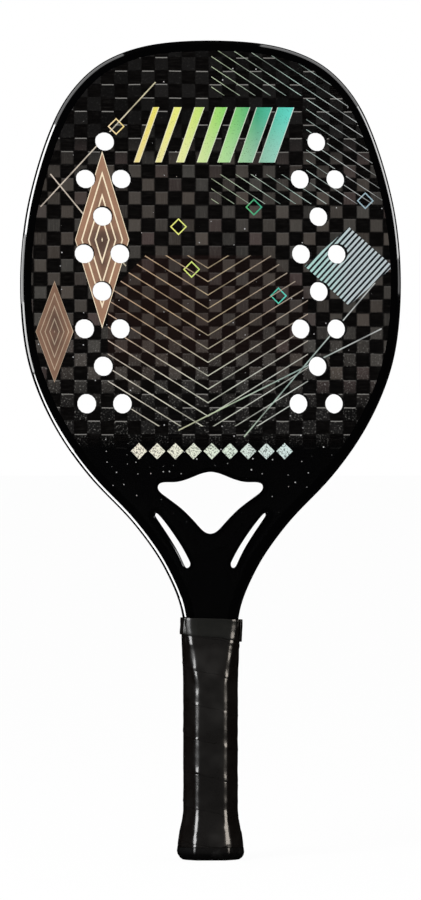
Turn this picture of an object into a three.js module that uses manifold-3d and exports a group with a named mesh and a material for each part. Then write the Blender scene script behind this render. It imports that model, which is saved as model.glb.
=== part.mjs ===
// Beach tennis racket, standing upright on the flat end of its handle.
// Millimetres. Z runs up the handle to the head, X runs across the head and Y through its thickness.
// The front face looks along -Y, and the origin is the centre of the butt's flat end.

import * as THREE from 'three';
import { mergeVertices } from 'three/addons/utils/BufferGeometryUtils.js';
import Module from 'manifold-3d';

const wasm = await Module();
wasm.setup();

// Whole racket
const racketLength = 500; // butt end to the top of the hoop
const headWidth = 232.6; // across the widest place of the hoop
const headThickness = 22; // from one face to the other
const bondGap = 0.3; // glue line or fit between two pieces
const overrun = 3; // how far a cutting shape runs past what it cuts

// Handle heights, from the butt end
const gripTop = 147; // top of the tape round the grip
const neckCover = 5; // stretch of full-size neck under the grip
const shaftTaper = 34; // height in which the shaft opens out to the neck
const neckFoot = gripTop - neckCover;
const shaftTop = neckFoot - shaftTaper;

// Frame tube: hoop, legs and shaft
const neckWidth = 32.4; // over both legs at the foot of the neck
const shaftFoot = 13; // height of the cut ends of the tube
const hoopTubeWidth = 12;
const legTubeWidth = 8.8;
const tubeWall = 1.3;
const edgeRadius = 5; // round of the outer edge

// Face sheets
const faceThickness = 1;
const faceBorder = 7; // bare edge of the frame round each sheet
const faceTuck = 4; // how far the sheets run on under the grip

// Round holes through the head
const holeDiameter = 12;
const holeTopMargin = 61.7; // top of the hoop to the first row
const holeFloorMargin = 28.2; // middle of the head core's lower edge to the last row
const holeSideMargin = 50; // widest place of the hoop to the middle of each column of holes
const holeSpread = 10.9; // from that middle to each hole of a pair
const holeBow = 1.6; // how far the first and last rows come in
const holeLand = 3; // least foam between a hole and the frame tube

// Throat: bridge, heart-shaped opening and two slits
const heartWidth = 66;
const heartHeight = 38.5;
const heartFootShare = 0.158; // of the head's height, to the lowest point of the opening
const bridgeDepth = 13; // foam between the opening and the head core
const bridgeRadius = 300; // sweep of the head core's lower edge
const slotWidth = 4.4;
const slotLength = 40;
const slotDrop = 3.5; // lowest point of the heart-shaped opening down to the middle of a slit
const rimWall = 2.2;
const rimRadius = 1.8; // round of the moulded edges

// Grip wrap and its finishing tape
const gripWidth = 33.2;
const gripDepth = 28.6;
const gripCut = 7.75; // how far each slanted side cuts into the corners
const gripCornerRadius = 3;
const leastRoundShare = 0.3; // of that radius, on the rings furthest inside the handle
const wrapThickness = 1.3;
const wrapPitch = 21.1;
const wrapSeam = 0.6; // open seam between two turns
const wrapPhase = 7; // height of the lowest seam at the middle of the front
const wrapLeastWidth = 2.5; // width at the pointed start and end of the band
const wrapEdge = 0.4; // bevel of the band's edges
const wrapTopMargin = 1; // top of the wrap below the top of the tape
const tapeWidth = 12;
const tapeThickness = 0.5;
const tapeFit = 0.4; // between the wrap and the tape
const tapeLapGap = 0.45; // air under the tape's free end
const tapeTurns = 1.2;
const tapeStartShare = 0.55; // of a turn, from the middle of the front, so that its free end is on the right
const tapeLiftShare = 0.85; // of its first turn, after which it climbs onto itself

// Butt cap, pallets and staples
const flareHeight = 33; // where the handle begins to widen
const flareReach = 3.7; // how far it widens on each side
const buttRadius = 5;
const capRim = 8; // height of the bare end below the wrap
const capFloor = 2.5;
const capWall = 1.6;
const sleeveLap = 7; // sleeve of the cap above the flare
const knotRoom = 8; // hollow for the knot of a wrist cord
const cordHoleDiameter = 6.4;
const cordHoleSpacing = 12;
const palletSideWall = 3.7;
const palletFaceWall = 4.4;
const palletLap = 14; // pallets above the straight shaft
const palletEase = 0.5; // how far they draw in under the top turns of the wrap
const fillerWidth = 3.8; // foam strip between the legs
const stapleWidthShare = 0.6; // of the handle's narrow side
const stapleWire = 0.5;
const stapleHeight = 1; // height of the flat wire
const stapleLand = 0.5; // foam between the tips of a staple's pocket and the shaft
const stapleDrop = 5; // top of the sleeve to the staple

// Counts of steps along curves
const hoopSteps = 84;
const arcSteps = 4;
const bridgeSteps = 24;
const heartSteps = 48;
const slotSideSteps = 7;
const slotEndSteps = 5;
const slotSearchSteps = 400;
const holeRows = 8;
const holeSides = 16;
const cordHoleSides = 12;

// Hoop outline, from the foot of the neck to near the top.
// Each pair is a share of the height of the head and a share of the way from neck to full width.
const hoopShares = [
  [0, 0], [0.028, 0.013], [0.05, 0.036], [0.079, 0.082], [0.114, 0.146], [0.182, 0.325],
  [0.25, 0.56], [0.318, 0.742], [0.387, 0.873], [0.455, 0.956], [0.528, 0.993], [0.6, 1],
  [0.665, 0.985], [0.728, 0.949], [0.83, 0.843], [0.899, 0.727], [0.95, 0.565], [0.975, 0.413],
  [0.9925, 0.204],
];

// Right half of the heart-shaped opening, from the top middle to the lowest point.
// Each pair is a share of its half width and a share of its height.
const heartShares = [
  [0, 1], [0.18, 0.968], [0.33, 0.915], [0.48, 0.866], [0.66, 0.832], [0.86, 0.834],
  [0.97, 0.808], [1, 0.755], [0.96, 0.685], [0.84, 0.604], [0.545, 0.413], [0.319, 0.222],
  [0.17, 0.078], [0.09, 0.02], [0, 0],
];

// A square corner of 45 degrees that touches a round of radius 1 is cut back by this share.
const bevelShare = 2 - Math.SQRT2;

const { clamp, lerp, inverseLerp, smoothstep } = THREE.MathUtils;
const half = (size) => size / 2;

// Sizes and heights that follow from the others
const heartFoot = lerp(neckFoot, racketLength, heartFootShare);
const slotMiddle = heartFoot - slotDrop;
const bridgeHeight = heartFoot + heartHeight + bridgeDepth;
const faceRecess = faceThickness + bondGap;
const wrapCover = wrapThickness + bondGap;
const shaftWidth = gripWidth - 2 * (wrapCover + palletSideWall + bondGap);
const shaftDepth = gripDepth - 2 * (wrapCover + palletFaceWall + bondGap);
const capTop = flareHeight + sleeveLap;
const palletFoot = capFloor + knotRoom;

// Solids from meshes, and meshes from solids

function asSolid(geometry) {
  const bare = geometry.clone();
  bare.deleteAttribute('normal');
  bare.deleteAttribute('uv');
  const merged = mergeVertices(bare);
  const mesh = new wasm.Mesh({
    numProp: 3,
    vertProperties: new Float32Array(merged.attributes.position.array),
    triVerts: new Uint32Array(merged.index.array),
  });
  return new wasm.Manifold(mesh);
}

function asGeometry(solid) {
  const mesh = solid.getMesh();
  const geometry = new THREE.BufferGeometry();
  geometry.setAttribute('position', new THREE.BufferAttribute(mesh.vertProperties, 3));
  geometry.setIndex(new THREE.BufferAttribute(mesh.triVerts, 1));
  geometry.computeVertexNormals();
  return geometry;
}

// Six times the volume inside a list of triangles, below zero where they face inwards
function turnOf(points, faces) {
  let sum = 0;
  for (const [a, b, c] of faces) {
    sum += points[a].dot(new THREE.Vector3().crossVectors(points[b], points[c]));
  }
  return sum;
}

// A closed body through rings of points, each ring with as many points as the last.
// Its two ends are filled, or joined to each other where the rings run round in a loop.
function loft(rings, looped = false) {
  const count = rings[0].length;
  const points = rings.flat();
  const faces = [];
  const joins = looped ? rings.length : rings.length - 1;
  for (let ring = 0; ring < joins; ring += 1) {
    const here = ring * count;
    const there = ((ring + 1) % rings.length) * count;
    for (let i = 0; i < count; i += 1) {
      const next = (i + 1) % count;
      faces.push([here + i, here + next, there + next], [here + i, there + next, there + i]);
    }
  }
  if (!looped) {
    for (const ring of [0, rings.length - 1]) {
      const middle = new THREE.Vector3();
      rings[ring].forEach((point) => middle.add(point));
      const hub = points.push(middle.divideScalar(count)) - 1;
      for (let i = 0; i < count; i += 1) {
        const a = ring * count + i;
        const b = ring * count + ((i + 1) % count);
        faces.push(ring === 0 ? [hub, b, a] : [hub, a, b]);
      }
    }
  }
  const outward = turnOf(points, faces) > 0;
  const order = outward ? faces : faces.map(([a, b, c]) => [a, c, b]);
  const geometry = new THREE.BufferGeometry().setFromPoints(points);
  geometry.setIndex(order.flat());
  geometry.computeVertexNormals();
  return geometry;
}

// A plate whose outline and holes lie in X and Z, between two places through the thickness
function plate(outline, front, back, holes = []) {
  const shape = new THREE.Shape(outline);
  shape.holes = holes.map((points) => new THREE.Path(points));
  const geometry = new THREE.ExtrudeGeometry(shape, { depth: back - front, bevelEnabled: false });
  geometry.rotateX(Math.PI / 2);
  geometry.translate(0, back, 0);
  return geometry;
}

function block(size, centre) {
  return new THREE.BoxGeometry(...size).translate(...centre);
}

// Outline of the frame

const shaftBlend = (height) => clamp(inverseLerp(shaftTop, neckFoot, height), 0, 1);
const halfDepthAt = (height) => half(lerp(shaftDepth, headThickness, shaftBlend(height)));

function hoopCurve() {
  const right = hoopShares.map(([rise, reach]) => new THREE.Vector3(
    half(lerp(neckWidth, headWidth, reach)), 0, lerp(neckFoot, racketLength, rise),
  ));
  const left = right.map((point) => new THREE.Vector3(-point.x, 0, point.z)).reverse();
  const top = new THREE.Vector3(0, 0, racketLength);
  return new THREE.CatmullRomCurve3([...right, top, ...left], false, 'centripetal');
}

// Places along the outer edge, from the right leg's end round the hoop to the left leg's end
function edgePath() {
  const hoop = hoopCurve().getSpacedPoints(hoopSteps).map((point) => new THREE.Vector2(point.x, point.z));
  const leg = [shaftFoot, shaftTop].map((height) => new THREE.Vector2(half(shaftWidth), height));
  const otherLeg = leg.map((point) => new THREE.Vector2(-point.x, point.y)).reverse();
  return [...leg, ...hoop, ...otherLeg];
}

const edge = edgePath();

// Unit direction into the racket at each place of the edge
const inward = edge.map((point, i) => {
  const before = edge[Math.max(i - 1, 0)];
  const after = edge[Math.min(i + 1, edge.length - 1)];
  const along = after.clone().sub(before).normalize();
  return new THREE.Vector2(-along.y, along.x);
});
inward[0].set(-1, 0);
inward[edge.length - 1].set(1, 0);

// Half width of the frame at a height of the handle or neck
function neckHalfWidth(height) {
  const i = Math.max(edge.findIndex((point) => point.y > height), 1);
  const share = (height - edge[i - 1].y) / (edge[i].y - edge[i - 1].y);
  return lerp(edge[i - 1].x, edge[i].x, Math.max(share, 0));
}

// The legs fill the shaft beside the filler, and widen into the hoop beside the bridge.
const slotHead = slotMiddle + half(slotLength);
const shaftTubeWidth = half(shaftWidth - fillerWidth) - bondGap;
const tubeWidthAt = (height) => lerp(
  lerp(shaftTubeWidth, legTubeWidth, shaftBlend(height)),
  hoopTubeWidth,
  smoothstep(height, slotHead, bridgeHeight),
);

// Outline that lies a distance inside the edge, cut off level at a height
function insideEdge(distanceAt, foot) {
  const points = edge.map((point, i) => point.clone().addScaledVector(inward[i], distanceAt(point.y)));
  const kept = points.filter((point) => point.y > foot);
  const first = points.indexOf(kept[0]);
  const last = points.indexOf(kept[kept.length - 1]);
  const cutBetween = (low, high) => {
    const share = (foot - low.y) / (high.y - low.y);
    return new THREE.Vector2(lerp(low.x, high.x, share), foot);
  };
  return [
    cutBetween(points[first - 1], points[first]),
    ...kept,
    cutBetween(points[last + 1], points[last]),
  ];
}

// Frame tube: a hollow tube with a round outer edge and a ledge that carries each face sheet

function tubeSection(height) {
  const width = tubeWidthAt(height);
  const depth = halfDepthAt(height);
  const rim = Math.min(faceBorder - bondGap, width - tubeWall);
  const round = Math.min(edgeRadius, rim);
  const side = [
    [width, depth - faceRecess],
    [rim, depth - faceRecess],
    [rim, depth],
  ];
  for (let step = 0; step <= arcSteps; step += 1) {
    const angle = half(Math.PI) * (step / arcSteps);
    side.push([round * (1 - Math.sin(angle)), depth - round * (1 - Math.cos(angle))]);
  }
  return [...side, ...side.map(([across, through]) => [across, -through]).reverse()];
}

function boreSection(height) {
  const far = tubeWidthAt(height) - tubeWall;
  const depth = halfDepthAt(height) - faceRecess - tubeWall;
  const bevel = Math.max(edgeRadius * bevelShare + tubeWall * Math.SQRT2 - faceRecess - tubeWall * 2, 0);
  const side = [
    [far, depth],
    [tubeWall + bevel, depth],
    [tubeWall, depth - bevel],
  ];
  return [...side, ...side.map(([across, through]) => [across, -through]).reverse()];
}

function sweepEdge(sectionAt, extra) {
  const rings = edge.map((point, i) => sectionAt(point.y).map(([across, through]) => {
    const spot = point.clone().addScaledVector(inward[i], across);
    return new THREE.Vector3(spot.x, through, spot.y);
  }));
  for (const ring of [rings[0], rings[rings.length - 1]]) {
    ring.forEach((point) => point.setZ(point.z - extra));
  }
  return loft(rings);
}

function frameTube() {
  const outside = asSolid(sweepEdge(tubeSection, 0));
  const bore = asSolid(sweepEdge(boreSection, overrun));
  return asGeometry(outside.subtract(bore));
}

// Openings in the throat, and the holes in the head

// Outline of the heart-shaped opening, widened by a distance
function heartOutline(widen) {
  const right = heartShares.map(([reach, rise]) => new THREE.Vector3(
    half(heartWidth) * reach, 0, heartFoot + heartHeight * rise,
  ));
  const left = right.slice(1, -1).map((point) => new THREE.Vector3(-point.x, 0, point.z)).reverse();
  const curve = new THREE.CatmullRomCurve3([...right, ...left], true, 'centripetal');
  const spots = curve.getSpacedPoints(heartSteps).slice(0, heartSteps);
  return spots.map((point, i) => {
    const before = spots[(i + heartSteps - 1) % heartSteps];
    const after = spots[(i + 1) % heartSteps];
    const out = new THREE.Vector2(before.z - after.z, after.x - before.x).normalize();
    return new THREE.Vector2(point.x, point.z).addScaledVector(out, widen);
  });
}

// Middle line of a slit. It runs beside the leg tube, and the slit's rim touches the leg.
const slotInset = legTubeWidth + bondGap + rimWall + half(slotWidth);

function slotLine() {
  const line = insideEdge(() => slotInset, shaftFoot + overrun).filter((point) => point.x > 0);
  const curve = new THREE.CatmullRomCurve3(line.map((point) => new THREE.Vector3(point.x, 0, point.y)));
  const middle = curve.getSpacedPoints(slotSearchSteps)
    .findIndex((point) => point.z > slotMiddle) / slotSearchSteps;
  const reach = half(slotLength - slotWidth) / curve.getLength();
  const spots = [];
  for (let step = 0; step < slotSideSteps; step += 1) {
    const share = middle + reach * (2 * (step / (slotSideSteps - 1)) - 1);
    const spot = curve.getPointAt(share);
    const along = curve.getTangentAt(share);
    spots.push({ spot: new THREE.Vector2(spot.x, spot.z), along: new THREE.Vector2(along.x, along.z) });
  }
  return spots;
}

const slotSpots = slotLine();

// Outline of a slit, widened by a distance; side is 1 on the right and -1 on the left
function slotOutline(side, widen) {
  const reach = half(slotWidth) + widen;
  const outline = [];
  const turned = (spot, along, angle) => spot.clone().addScaledVector(
    along.clone().rotateAround(new THREE.Vector2(), angle), reach,
  );
  const quarter = half(Math.PI);
  slotSpots.forEach(({ spot, along }) => outline.push(turned(spot, along, -quarter)));
  const roundEnd = ({ spot, along }, start) => {
    for (let step = 1; step <= slotEndSteps; step += 1) {
      outline.push(turned(spot, along, start + Math.PI * (step / (slotEndSteps + 1))));
    }
  };
  roundEnd(slotSpots[slotSpots.length - 1], -quarter);
  slotSpots.toReversed().forEach(({ spot, along }) => outline.push(turned(spot, along, quarter)));
  roundEnd(slotSpots[0], quarter);
  return outline.map((point) => new THREE.Vector2(side * point.x, point.y));
}

function circle(centreX, centreZ, diameter, sides) {
  const points = [];
  for (let i = 0; i < sides; i += 1) {
    const angle = 2 * Math.PI * ((i + 0.5) / sides);
    points.push(new THREE.Vector2(
      centreX + half(diameter) * Math.cos(angle), centreZ + half(diameter) * Math.sin(angle),
    ));
  }
  return points;
}

// Rows of holes down both sides of the head: one hole and two holes by turns.
// The last row lies where the head is wide enough for it, and clear of the bridge.
function headHoles() {
  const column = half(headWidth) - holeSideMargin;
  const reach = column + holeSpread + half(holeDiameter) + holeLand + hoopTubeWidth;
  const wideEnough = edge.find((point) => point.x > reach).y;
  const topRow = racketLength - holeTopMargin;
  const lastRow = Math.max(bridgeHeight + holeFloorMargin, wideEnough);
  const holes = [];
  for (let row = 0; row < holeRows; row += 1) {
    const share = row / (holeRows - 1);
    const bow = holeBow * (2 * share - 1) ** 2;
    const offsets = row % 2 === 0 ? [0] : [-holeSpread, holeSpread];
    for (const offset of offsets) {
      for (const side of [-1, 1]) {
        const across = side * (column + offset - bow);
        holes.push(circle(across, lerp(topRow, lastRow, share), holeDiameter, holeSides));
      }
    }
  }
  return holes;
}

// Rim: a moulded ring round an opening, as thick as the head, with round edges on the open side
function rim(outlineAt) {
  const depth = half(headThickness);
  const round = Math.min(rimRadius, rimWall);
  const side = [[rimWall, depth], [round, depth]];
  const step = round * (1 - Math.SQRT1_2);
  side.push([step, depth - step], [0, depth - round]);
  const section = [...side, ...side.map(([across, through]) => [across, -through]).reverse()];
  const rings = section.map(([across, through]) => outlineAt(across).map(
    (point) => new THREE.Vector3(point.x, through, point.y),
  ));
  return loft(rings, true);
}

// Face sheets

function faceSheet(front, back) {
  const clear = rimWall + bondGap;
  const outline = insideEdge(() => faceBorder, gripTop - faceTuck);
  const openings = [heartOutline(clear), slotOutline(1, clear), slotOutline(-1, clear)];
  return plate(outline, front, back, [...headHoles(), ...openings]);
}

// Cores of the head and the throat

const coreHalfDepth = half(headThickness) - faceRecess;
const insideTube = (height) => tubeWidthAt(height) + bondGap;

// Everything above the bowed lower edge of the head core
function headZone(lowered) {
  const centre = bridgeHeight + bridgeRadius;
  const radius = bridgeRadius + lowered;
  const reach = Math.min(Math.asin(half(headWidth) / radius), half(Math.PI));
  const points = [];
  for (let step = 0; step <= bridgeSteps; step += 1) {
    const angle = reach * (2 * (step / bridgeSteps) - 1);
    points.push(new THREE.Vector2(radius * Math.sin(angle), centre - radius * Math.cos(angle)));
  }
  const top = racketLength + overrun;
  points.push(new THREE.Vector2(half(headWidth), top), new THREE.Vector2(-half(headWidth), top));
  return asSolid(plate(points, -headThickness, headThickness));
}

function headCore() {
  const outline = insideEdge(insideTube, gripTop);
  const sheet = asSolid(plate(outline, -coreHalfDepth, coreHalfDepth, headHoles()));
  return asGeometry(sheet.intersect(headZone(0)));
}

// The depth of the shaft and neck, less the recess of the faces, as a slab across the racket
function depthSlab() {
  const heights = [shaftFoot, shaftTop, neckFoot, racketLength];
  const side = heights.map((height) => new THREE.Vector2(halfDepthAt(height) - faceRecess, height));
  const other = side.map((point) => new THREE.Vector2(-point.x, point.y)).reverse();
  const geometry = plate([...side, ...other], -half(headWidth), half(headWidth));
  return asSolid(geometry.rotateZ(half(Math.PI)));
}

function throatCore() {
  const clear = rimWall + bondGap;
  const cutThrough = (outline) => asSolid(plate(outline, -headThickness, headThickness));
  const outline = insideEdge(insideTube, shaftTop + bondGap);
  return asGeometry(cutThrough(outline)
    .intersect(depthSlab())
    .subtract(headZone(bondGap))
    .subtract(cutThrough(heartOutline(clear)))
    .subtract(cutThrough(slotOutline(1, clear)))
    .subtract(cutThrough(slotOutline(-1, clear))));
}

function shaftFiller() {
  const depth = shaftDepth - 2 * faceRecess;
  const height = shaftTop - shaftFoot;
  return block([fillerWidth, depth, height], [0, 0, shaftFoot + half(height)]);
}

// Eight-sided handle

// Half width, half depth and corner cut of the wrapped handle at a height
function gripSize(height, flared) {
  const blend = shaftBlend(height);
  const flare = flared ? flareReach * clamp(inverseLerp(flareHeight, buttRadius, height), 0, 1) : 0;
  const neck = Math.max(neckHalfWidth(height), half(neckWidth));
  const cut = lerp(gripCut, bevelShare * (edgeRadius + wrapCover), blend);
  return {
    across: lerp(half(gripWidth), neck + wrapCover, blend) + flare,
    through: lerp(half(gripDepth), half(headThickness) + wrapCover, blend) + flare,
    cut: cut + half(flare),
  };
}

// Ring of 24 points round the handle, three at each corner, a distance inside the wrapped surface
function gripRing(height, inset, flared = true) {
  const size = gripSize(height, flared);
  const across = size.across - inset;
  const through = size.through - inset;
  const cut = size.cut - bevelShare * inset;
  const corners = [
    [across - cut, -through], [across, cut - through], [across, through - cut], [across - cut, through],
    [cut - across, through], [-across, through - cut], [-across, cut - through], [cut - across, -through],
  ].map(([x, y]) => new THREE.Vector2(x, y));
  const round = Math.max(gripCornerRadius - inset, gripCornerRadius * leastRoundShare);
  const trim = round * Math.tan(Math.PI / 8);
  return corners.flatMap((corner, i) => {
    const towards = (other) => corner.clone().addScaledVector(other.clone().sub(corner).normalize(), trim);
    const start = towards(corners[(i + 7) % 8]);
    const end = towards(corners[(i + 1) % 8]);
    const middle = start.clone().add(end).multiplyScalar(0.5).lerp(corner, 0.5);
    return [start, middle, end].map((point) => new THREE.Vector3(point.x, point.y, height));
  });
}

// Rounded rectangle round the two legs in the handle, widened by a distance
function shaftRing(height, widen, at = height) {
  const across = neckHalfWidth(at) + widen;
  const through = halfDepthAt(at) + widen;
  const round = edgeRadius + widen;
  const ring = [];
  for (let corner = 0; corner < 4; corner += 1) {
    const sideX = corner === 0 || corner === 3 ? 1 : -1;
    const sideY = corner < 2 ? 1 : -1;
    for (let step = 0; step <= arcSteps; step += 1) {
      const angle = half(Math.PI) * (corner + step / arcSteps);
      ring.push(new THREE.Vector3(
        sideX * (across - round) + round * Math.cos(angle),
        sideY * (through - round) + round * Math.sin(angle),
        height,
      ));
    }
  }
  return ring;
}

// Staple: a flat wire whose crown lies along Y just below the sleeve's surface.
// Its two legs point into the handle; grown by the fit and opened outwards, it is its own pocket.
function staple(side, grow = 0, open = 0) {
  const outer = half(gripWidth) - wrapCover - bondGap;
  const width = half(stapleWidthShare * (gripDepth - 2 * gripCut)) + grow;
  const wire = stapleWire + 2 * grow;
  const crown = outer - stapleWire - grow;
  const tip = half(shaftWidth) + 2 * bondGap + stapleLand - grow;
  const face = outer + open;
  const shape = new THREE.Shape([
    [face, -width], [face, width], [tip, width], [tip, width - wire],
    [crown, width - wire], [crown, wire - width], [tip, wire - width], [tip, -width],
  ].map(([x, y]) => new THREE.Vector2(x, y)));
  const depth = stapleHeight + 2 * grow;
  const geometry = new THREE.ExtrudeGeometry(shape, { depth, bevelEnabled: false });
  geometry.translate(0, 0, capTop - stapleDrop - half(depth));
  return side > 0 ? geometry : geometry.rotateZ(Math.PI);
}

const staplePocket = (side) => asSolid(staple(side, bondGap, overrun));

function handlePallets() {
  const sleeveIn = wrapCover + capWall + bondGap;
  const step = capTop + bondGap;
  const top = shaftTop + palletLap;
  const outside = asSolid(loft([
    gripRing(palletFoot, sleeveIn, false),
    gripRing(step, sleeveIn, false),
    gripRing(step, wrapCover, false),
    gripRing(shaftTop - wrapPitch, wrapCover, false),
    gripRing(shaftTop, wrapCover + palletEase, false),
    gripRing(top, wrapCover + palletEase, false),
  ]));
  const channel = asSolid(loft([
    shaftRing(palletFoot - overrun, bondGap, shaftFoot),
    shaftRing(shaftTop, bondGap),
    shaftRing(top, bondGap),
    shaftRing(top + overrun, bondGap),
  ]));
  return outside.subtract(channel).subtract(staplePocket(1)).subtract(staplePocket(-1));
}

function handlePallet(side) {
  const size = gripWidth + gripDepth;
  const zone = block([size, size, racketLength], [0, side * half(size + bondGap), half(racketLength)]);
  return asGeometry(handlePallets().intersect(asSolid(zone)));
}

function buttCap() {
  const rings = [];
  for (let step = 0; step <= arcSteps; step += 1) {
    const angle = half(Math.PI) * (step / arcSteps);
    rings.push(gripRing(buttRadius * (1 - Math.cos(angle)), buttRadius * (1 - Math.sin(angle))));
  }
  rings.push(gripRing(capRim, 0));
  rings.push(...[capRim, flareHeight, capTop].map((height) => gripRing(height, wrapCover)));
  const cavity = asSolid(loft([
    gripRing(capFloor, wrapCover + capWall, false),
    gripRing(capTop + overrun, wrapCover + capWall, false),
  ]));
  let cap = asSolid(loft(rings)).subtract(cavity);
  for (const side of [-1, 1]) {
    const hole = new THREE.CylinderGeometry(
      half(cordHoleDiameter), half(cordHoleDiameter), capFloor + 2 * overrun, cordHoleSides,
    );
    hole.rotateX(half(Math.PI)).translate(side * half(cordHoleSpacing), 0, half(capFloor));
    cap = cap.subtract(asSolid(hole)).subtract(staplePocket(side));
  }
  return asGeometry(cap);
}

// Grip wrap and finishing tape

// How far round the handle each of the 24 places lies, as a share from the middle of the front
const gripTurnShares = (() => {
  const ring = gripRing(shaftTop, 0);
  const lengths = [Math.abs(ring[0].x)];
  for (let i = 1; i < ring.length; i += 1) {
    lengths.push(lengths[i - 1] + ring[i].distanceTo(ring[i - 1]));
  }
  const whole = lengths[lengths.length - 1] + ring[ring.length - 1].distanceTo(ring[0]);
  return lengths.map((length) => length / whole);
})();

// Places round the handle in the order of winding, which climbs clockwise as seen from above
function windingPlaces(from, to) {
  const count = gripTurnShares.length;
  const places = [];
  for (let turn = Math.floor(from) - 1; turn <= Math.ceil(to); turn += 1) {
    for (let i = count - 1; i >= 0; i -= 1) {
      const turned = turn + 1 - gripTurnShares[i];
      if (turned >= from && turned <= to) {
        places.push({ turned, index: i });
      }
    }
  }
  return places;
}

// Section of a band at one place: an inner side, two edges and a bevelled outer side
function bandSection(index, low, high, inner, outer) {
  const bevel = Math.min(wrapEdge, half(inner - outer));
  const at = (height, inset) => gripRing(height, inset)[index];
  return [
    at(low, inner), at(high, inner), at(high, outer + bevel),
    at(high - bevel, outer), at(low + bevel, outer), at(low, outer + bevel),
  ];
}

// Least distance between sections that lie over half a turn apart along a band
const apartShare = 0.5;

function leastGap(sections, places) {
  let least = Infinity;
  sections.forEach((section, i) => {
    for (let other = i + 1; other < sections.length; other += 1) {
      if (places[other].turned - places[i].turned > apartShare) {
        for (const a of section) {
          for (const b of sections[other]) {
            least = Math.min(least, a.distanceTo(b));
          }
        }
      }
    }
  });
  return least;
}

function gripWrap() {
  const lowest = capRim + bondGap;
  const highest = gripTop - wrapTopMargin;
  const bandWidth = wrapPitch - wrapSeam;
  const start = (lowest + wrapLeastWidth - bandWidth - wrapPhase) / wrapPitch;
  const end = (highest - wrapLeastWidth - wrapPhase) / wrapPitch;
  const places = windingPlaces(start, end);
  const sections = places.map(({ turned, index }) => {
    const low = wrapPhase + wrapPitch * turned;
    return bandSection(
      index, Math.max(low, lowest), Math.min(low + bandWidth, highest), wrapThickness, 0,
    );
  });
  console.log(`grip wrap, least gap to itself: ${leastGap(sections, places).toFixed(2)} mm`);
  return loft(sections);
}

function finishingTape() {
  const start = tapeStartShare;
  const places = windingPlaces(start, start + tapeTurns);
  const sections = places.map(({ turned, index }) => {
    const lap = smoothstep(turned - start, tapeLiftShare, 1);
    const inner = -tapeFit - (tapeThickness + tapeLapGap) * lap;
    return bandSection(index, gripTop - tapeWidth, gripTop, inner, inner - tapeThickness);
  });
  console.log(`finishing tape, least gap to itself: ${leastGap(sections, places).toFixed(2)} mm`);
  return loft(sections);
}

// Materials

const surface = (color, roughness, metalness = 0) => new THREE.MeshStandardMaterial({
  color, roughness, metalness,
});
const glossBlack = surface(0x0a0a0b, 0.15);
const carbonWeave = surface(0x2b2825, 0.3);
const darkFoam = surface(0x1d1d1e, 0.9);
const paleFoam = surface(0xd8cda8, 0.9);
const gripSkin = surface(0x1a1918, 0.55);
const tapeSkin = surface(0x20201e, 0.4);
const capPlastic = surface(0x09090a, 0.35);
const stapleSteel = surface(0xb4b6b8, 0.35, 1);

// The racket

const racket = new THREE.Group();

function addPiece(name, geometry, material) {
  const mesh = new THREE.Mesh(geometry, material);
  mesh.name = name;
  racket.add(mesh);
}

const faceOut = half(headThickness);
const faceIn = faceOut - faceThickness;

addPiece('frame_tube', frameTube(), glossBlack);
addPiece('head_core', headCore(), darkFoam);
addPiece('throat_core', throatCore(), darkFoam);
addPiece('front_face', faceSheet(-faceOut, -faceIn), carbonWeave);
addPiece('back_face', faceSheet(faceIn, faceOut), carbonWeave);
addPiece('heart_rim', rim(heartOutline), glossBlack);
addPiece('slot_rim_right', rim((widen) => slotOutline(1, widen)), glossBlack);
addPiece('slot_rim_left', rim((widen) => slotOutline(-1, widen)), glossBlack);
addPiece('shaft_filler', shaftFiller(), paleFoam);
addPiece('handle_pallet_front', handlePallet(-1), paleFoam);
addPiece('handle_pallet_back', handlePallet(1), paleFoam);
addPiece('butt_cap', buttCap(), capPlastic);
addPiece('cap_staple_right', staple(1), stapleSteel);
addPiece('cap_staple_left', staple(-1), stapleSteel);
addPiece('grip_wrap', gripWrap(), gripSkin);
addPiece('finishing_tape', finishingTape(), tapeSkin);

export default racket;
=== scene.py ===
"""Beach tennis racket: a foam-cored carbon head on a hollow carbon tube, with a wound grip."""

import math

import bmesh
import bpy
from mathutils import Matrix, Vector, noise


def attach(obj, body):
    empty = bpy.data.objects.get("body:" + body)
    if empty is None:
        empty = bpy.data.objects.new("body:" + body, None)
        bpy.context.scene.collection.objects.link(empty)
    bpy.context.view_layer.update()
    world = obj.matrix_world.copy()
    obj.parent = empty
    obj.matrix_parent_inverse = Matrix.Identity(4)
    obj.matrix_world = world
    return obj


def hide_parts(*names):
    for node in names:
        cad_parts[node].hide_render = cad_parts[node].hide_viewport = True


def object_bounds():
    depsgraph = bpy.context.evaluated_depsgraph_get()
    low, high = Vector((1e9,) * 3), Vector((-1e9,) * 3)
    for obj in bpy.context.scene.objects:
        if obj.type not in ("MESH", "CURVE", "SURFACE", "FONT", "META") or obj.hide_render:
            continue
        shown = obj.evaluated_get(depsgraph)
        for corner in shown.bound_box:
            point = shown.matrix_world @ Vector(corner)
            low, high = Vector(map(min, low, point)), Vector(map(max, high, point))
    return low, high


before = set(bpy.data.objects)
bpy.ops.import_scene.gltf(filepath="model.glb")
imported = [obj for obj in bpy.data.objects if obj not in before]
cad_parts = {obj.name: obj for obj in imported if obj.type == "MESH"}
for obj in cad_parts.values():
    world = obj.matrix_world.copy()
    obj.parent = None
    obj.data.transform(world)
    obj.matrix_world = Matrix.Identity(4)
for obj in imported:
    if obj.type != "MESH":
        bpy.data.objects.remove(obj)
cad_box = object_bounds()
scene = bpy.context.scene


# Frame tube

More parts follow.
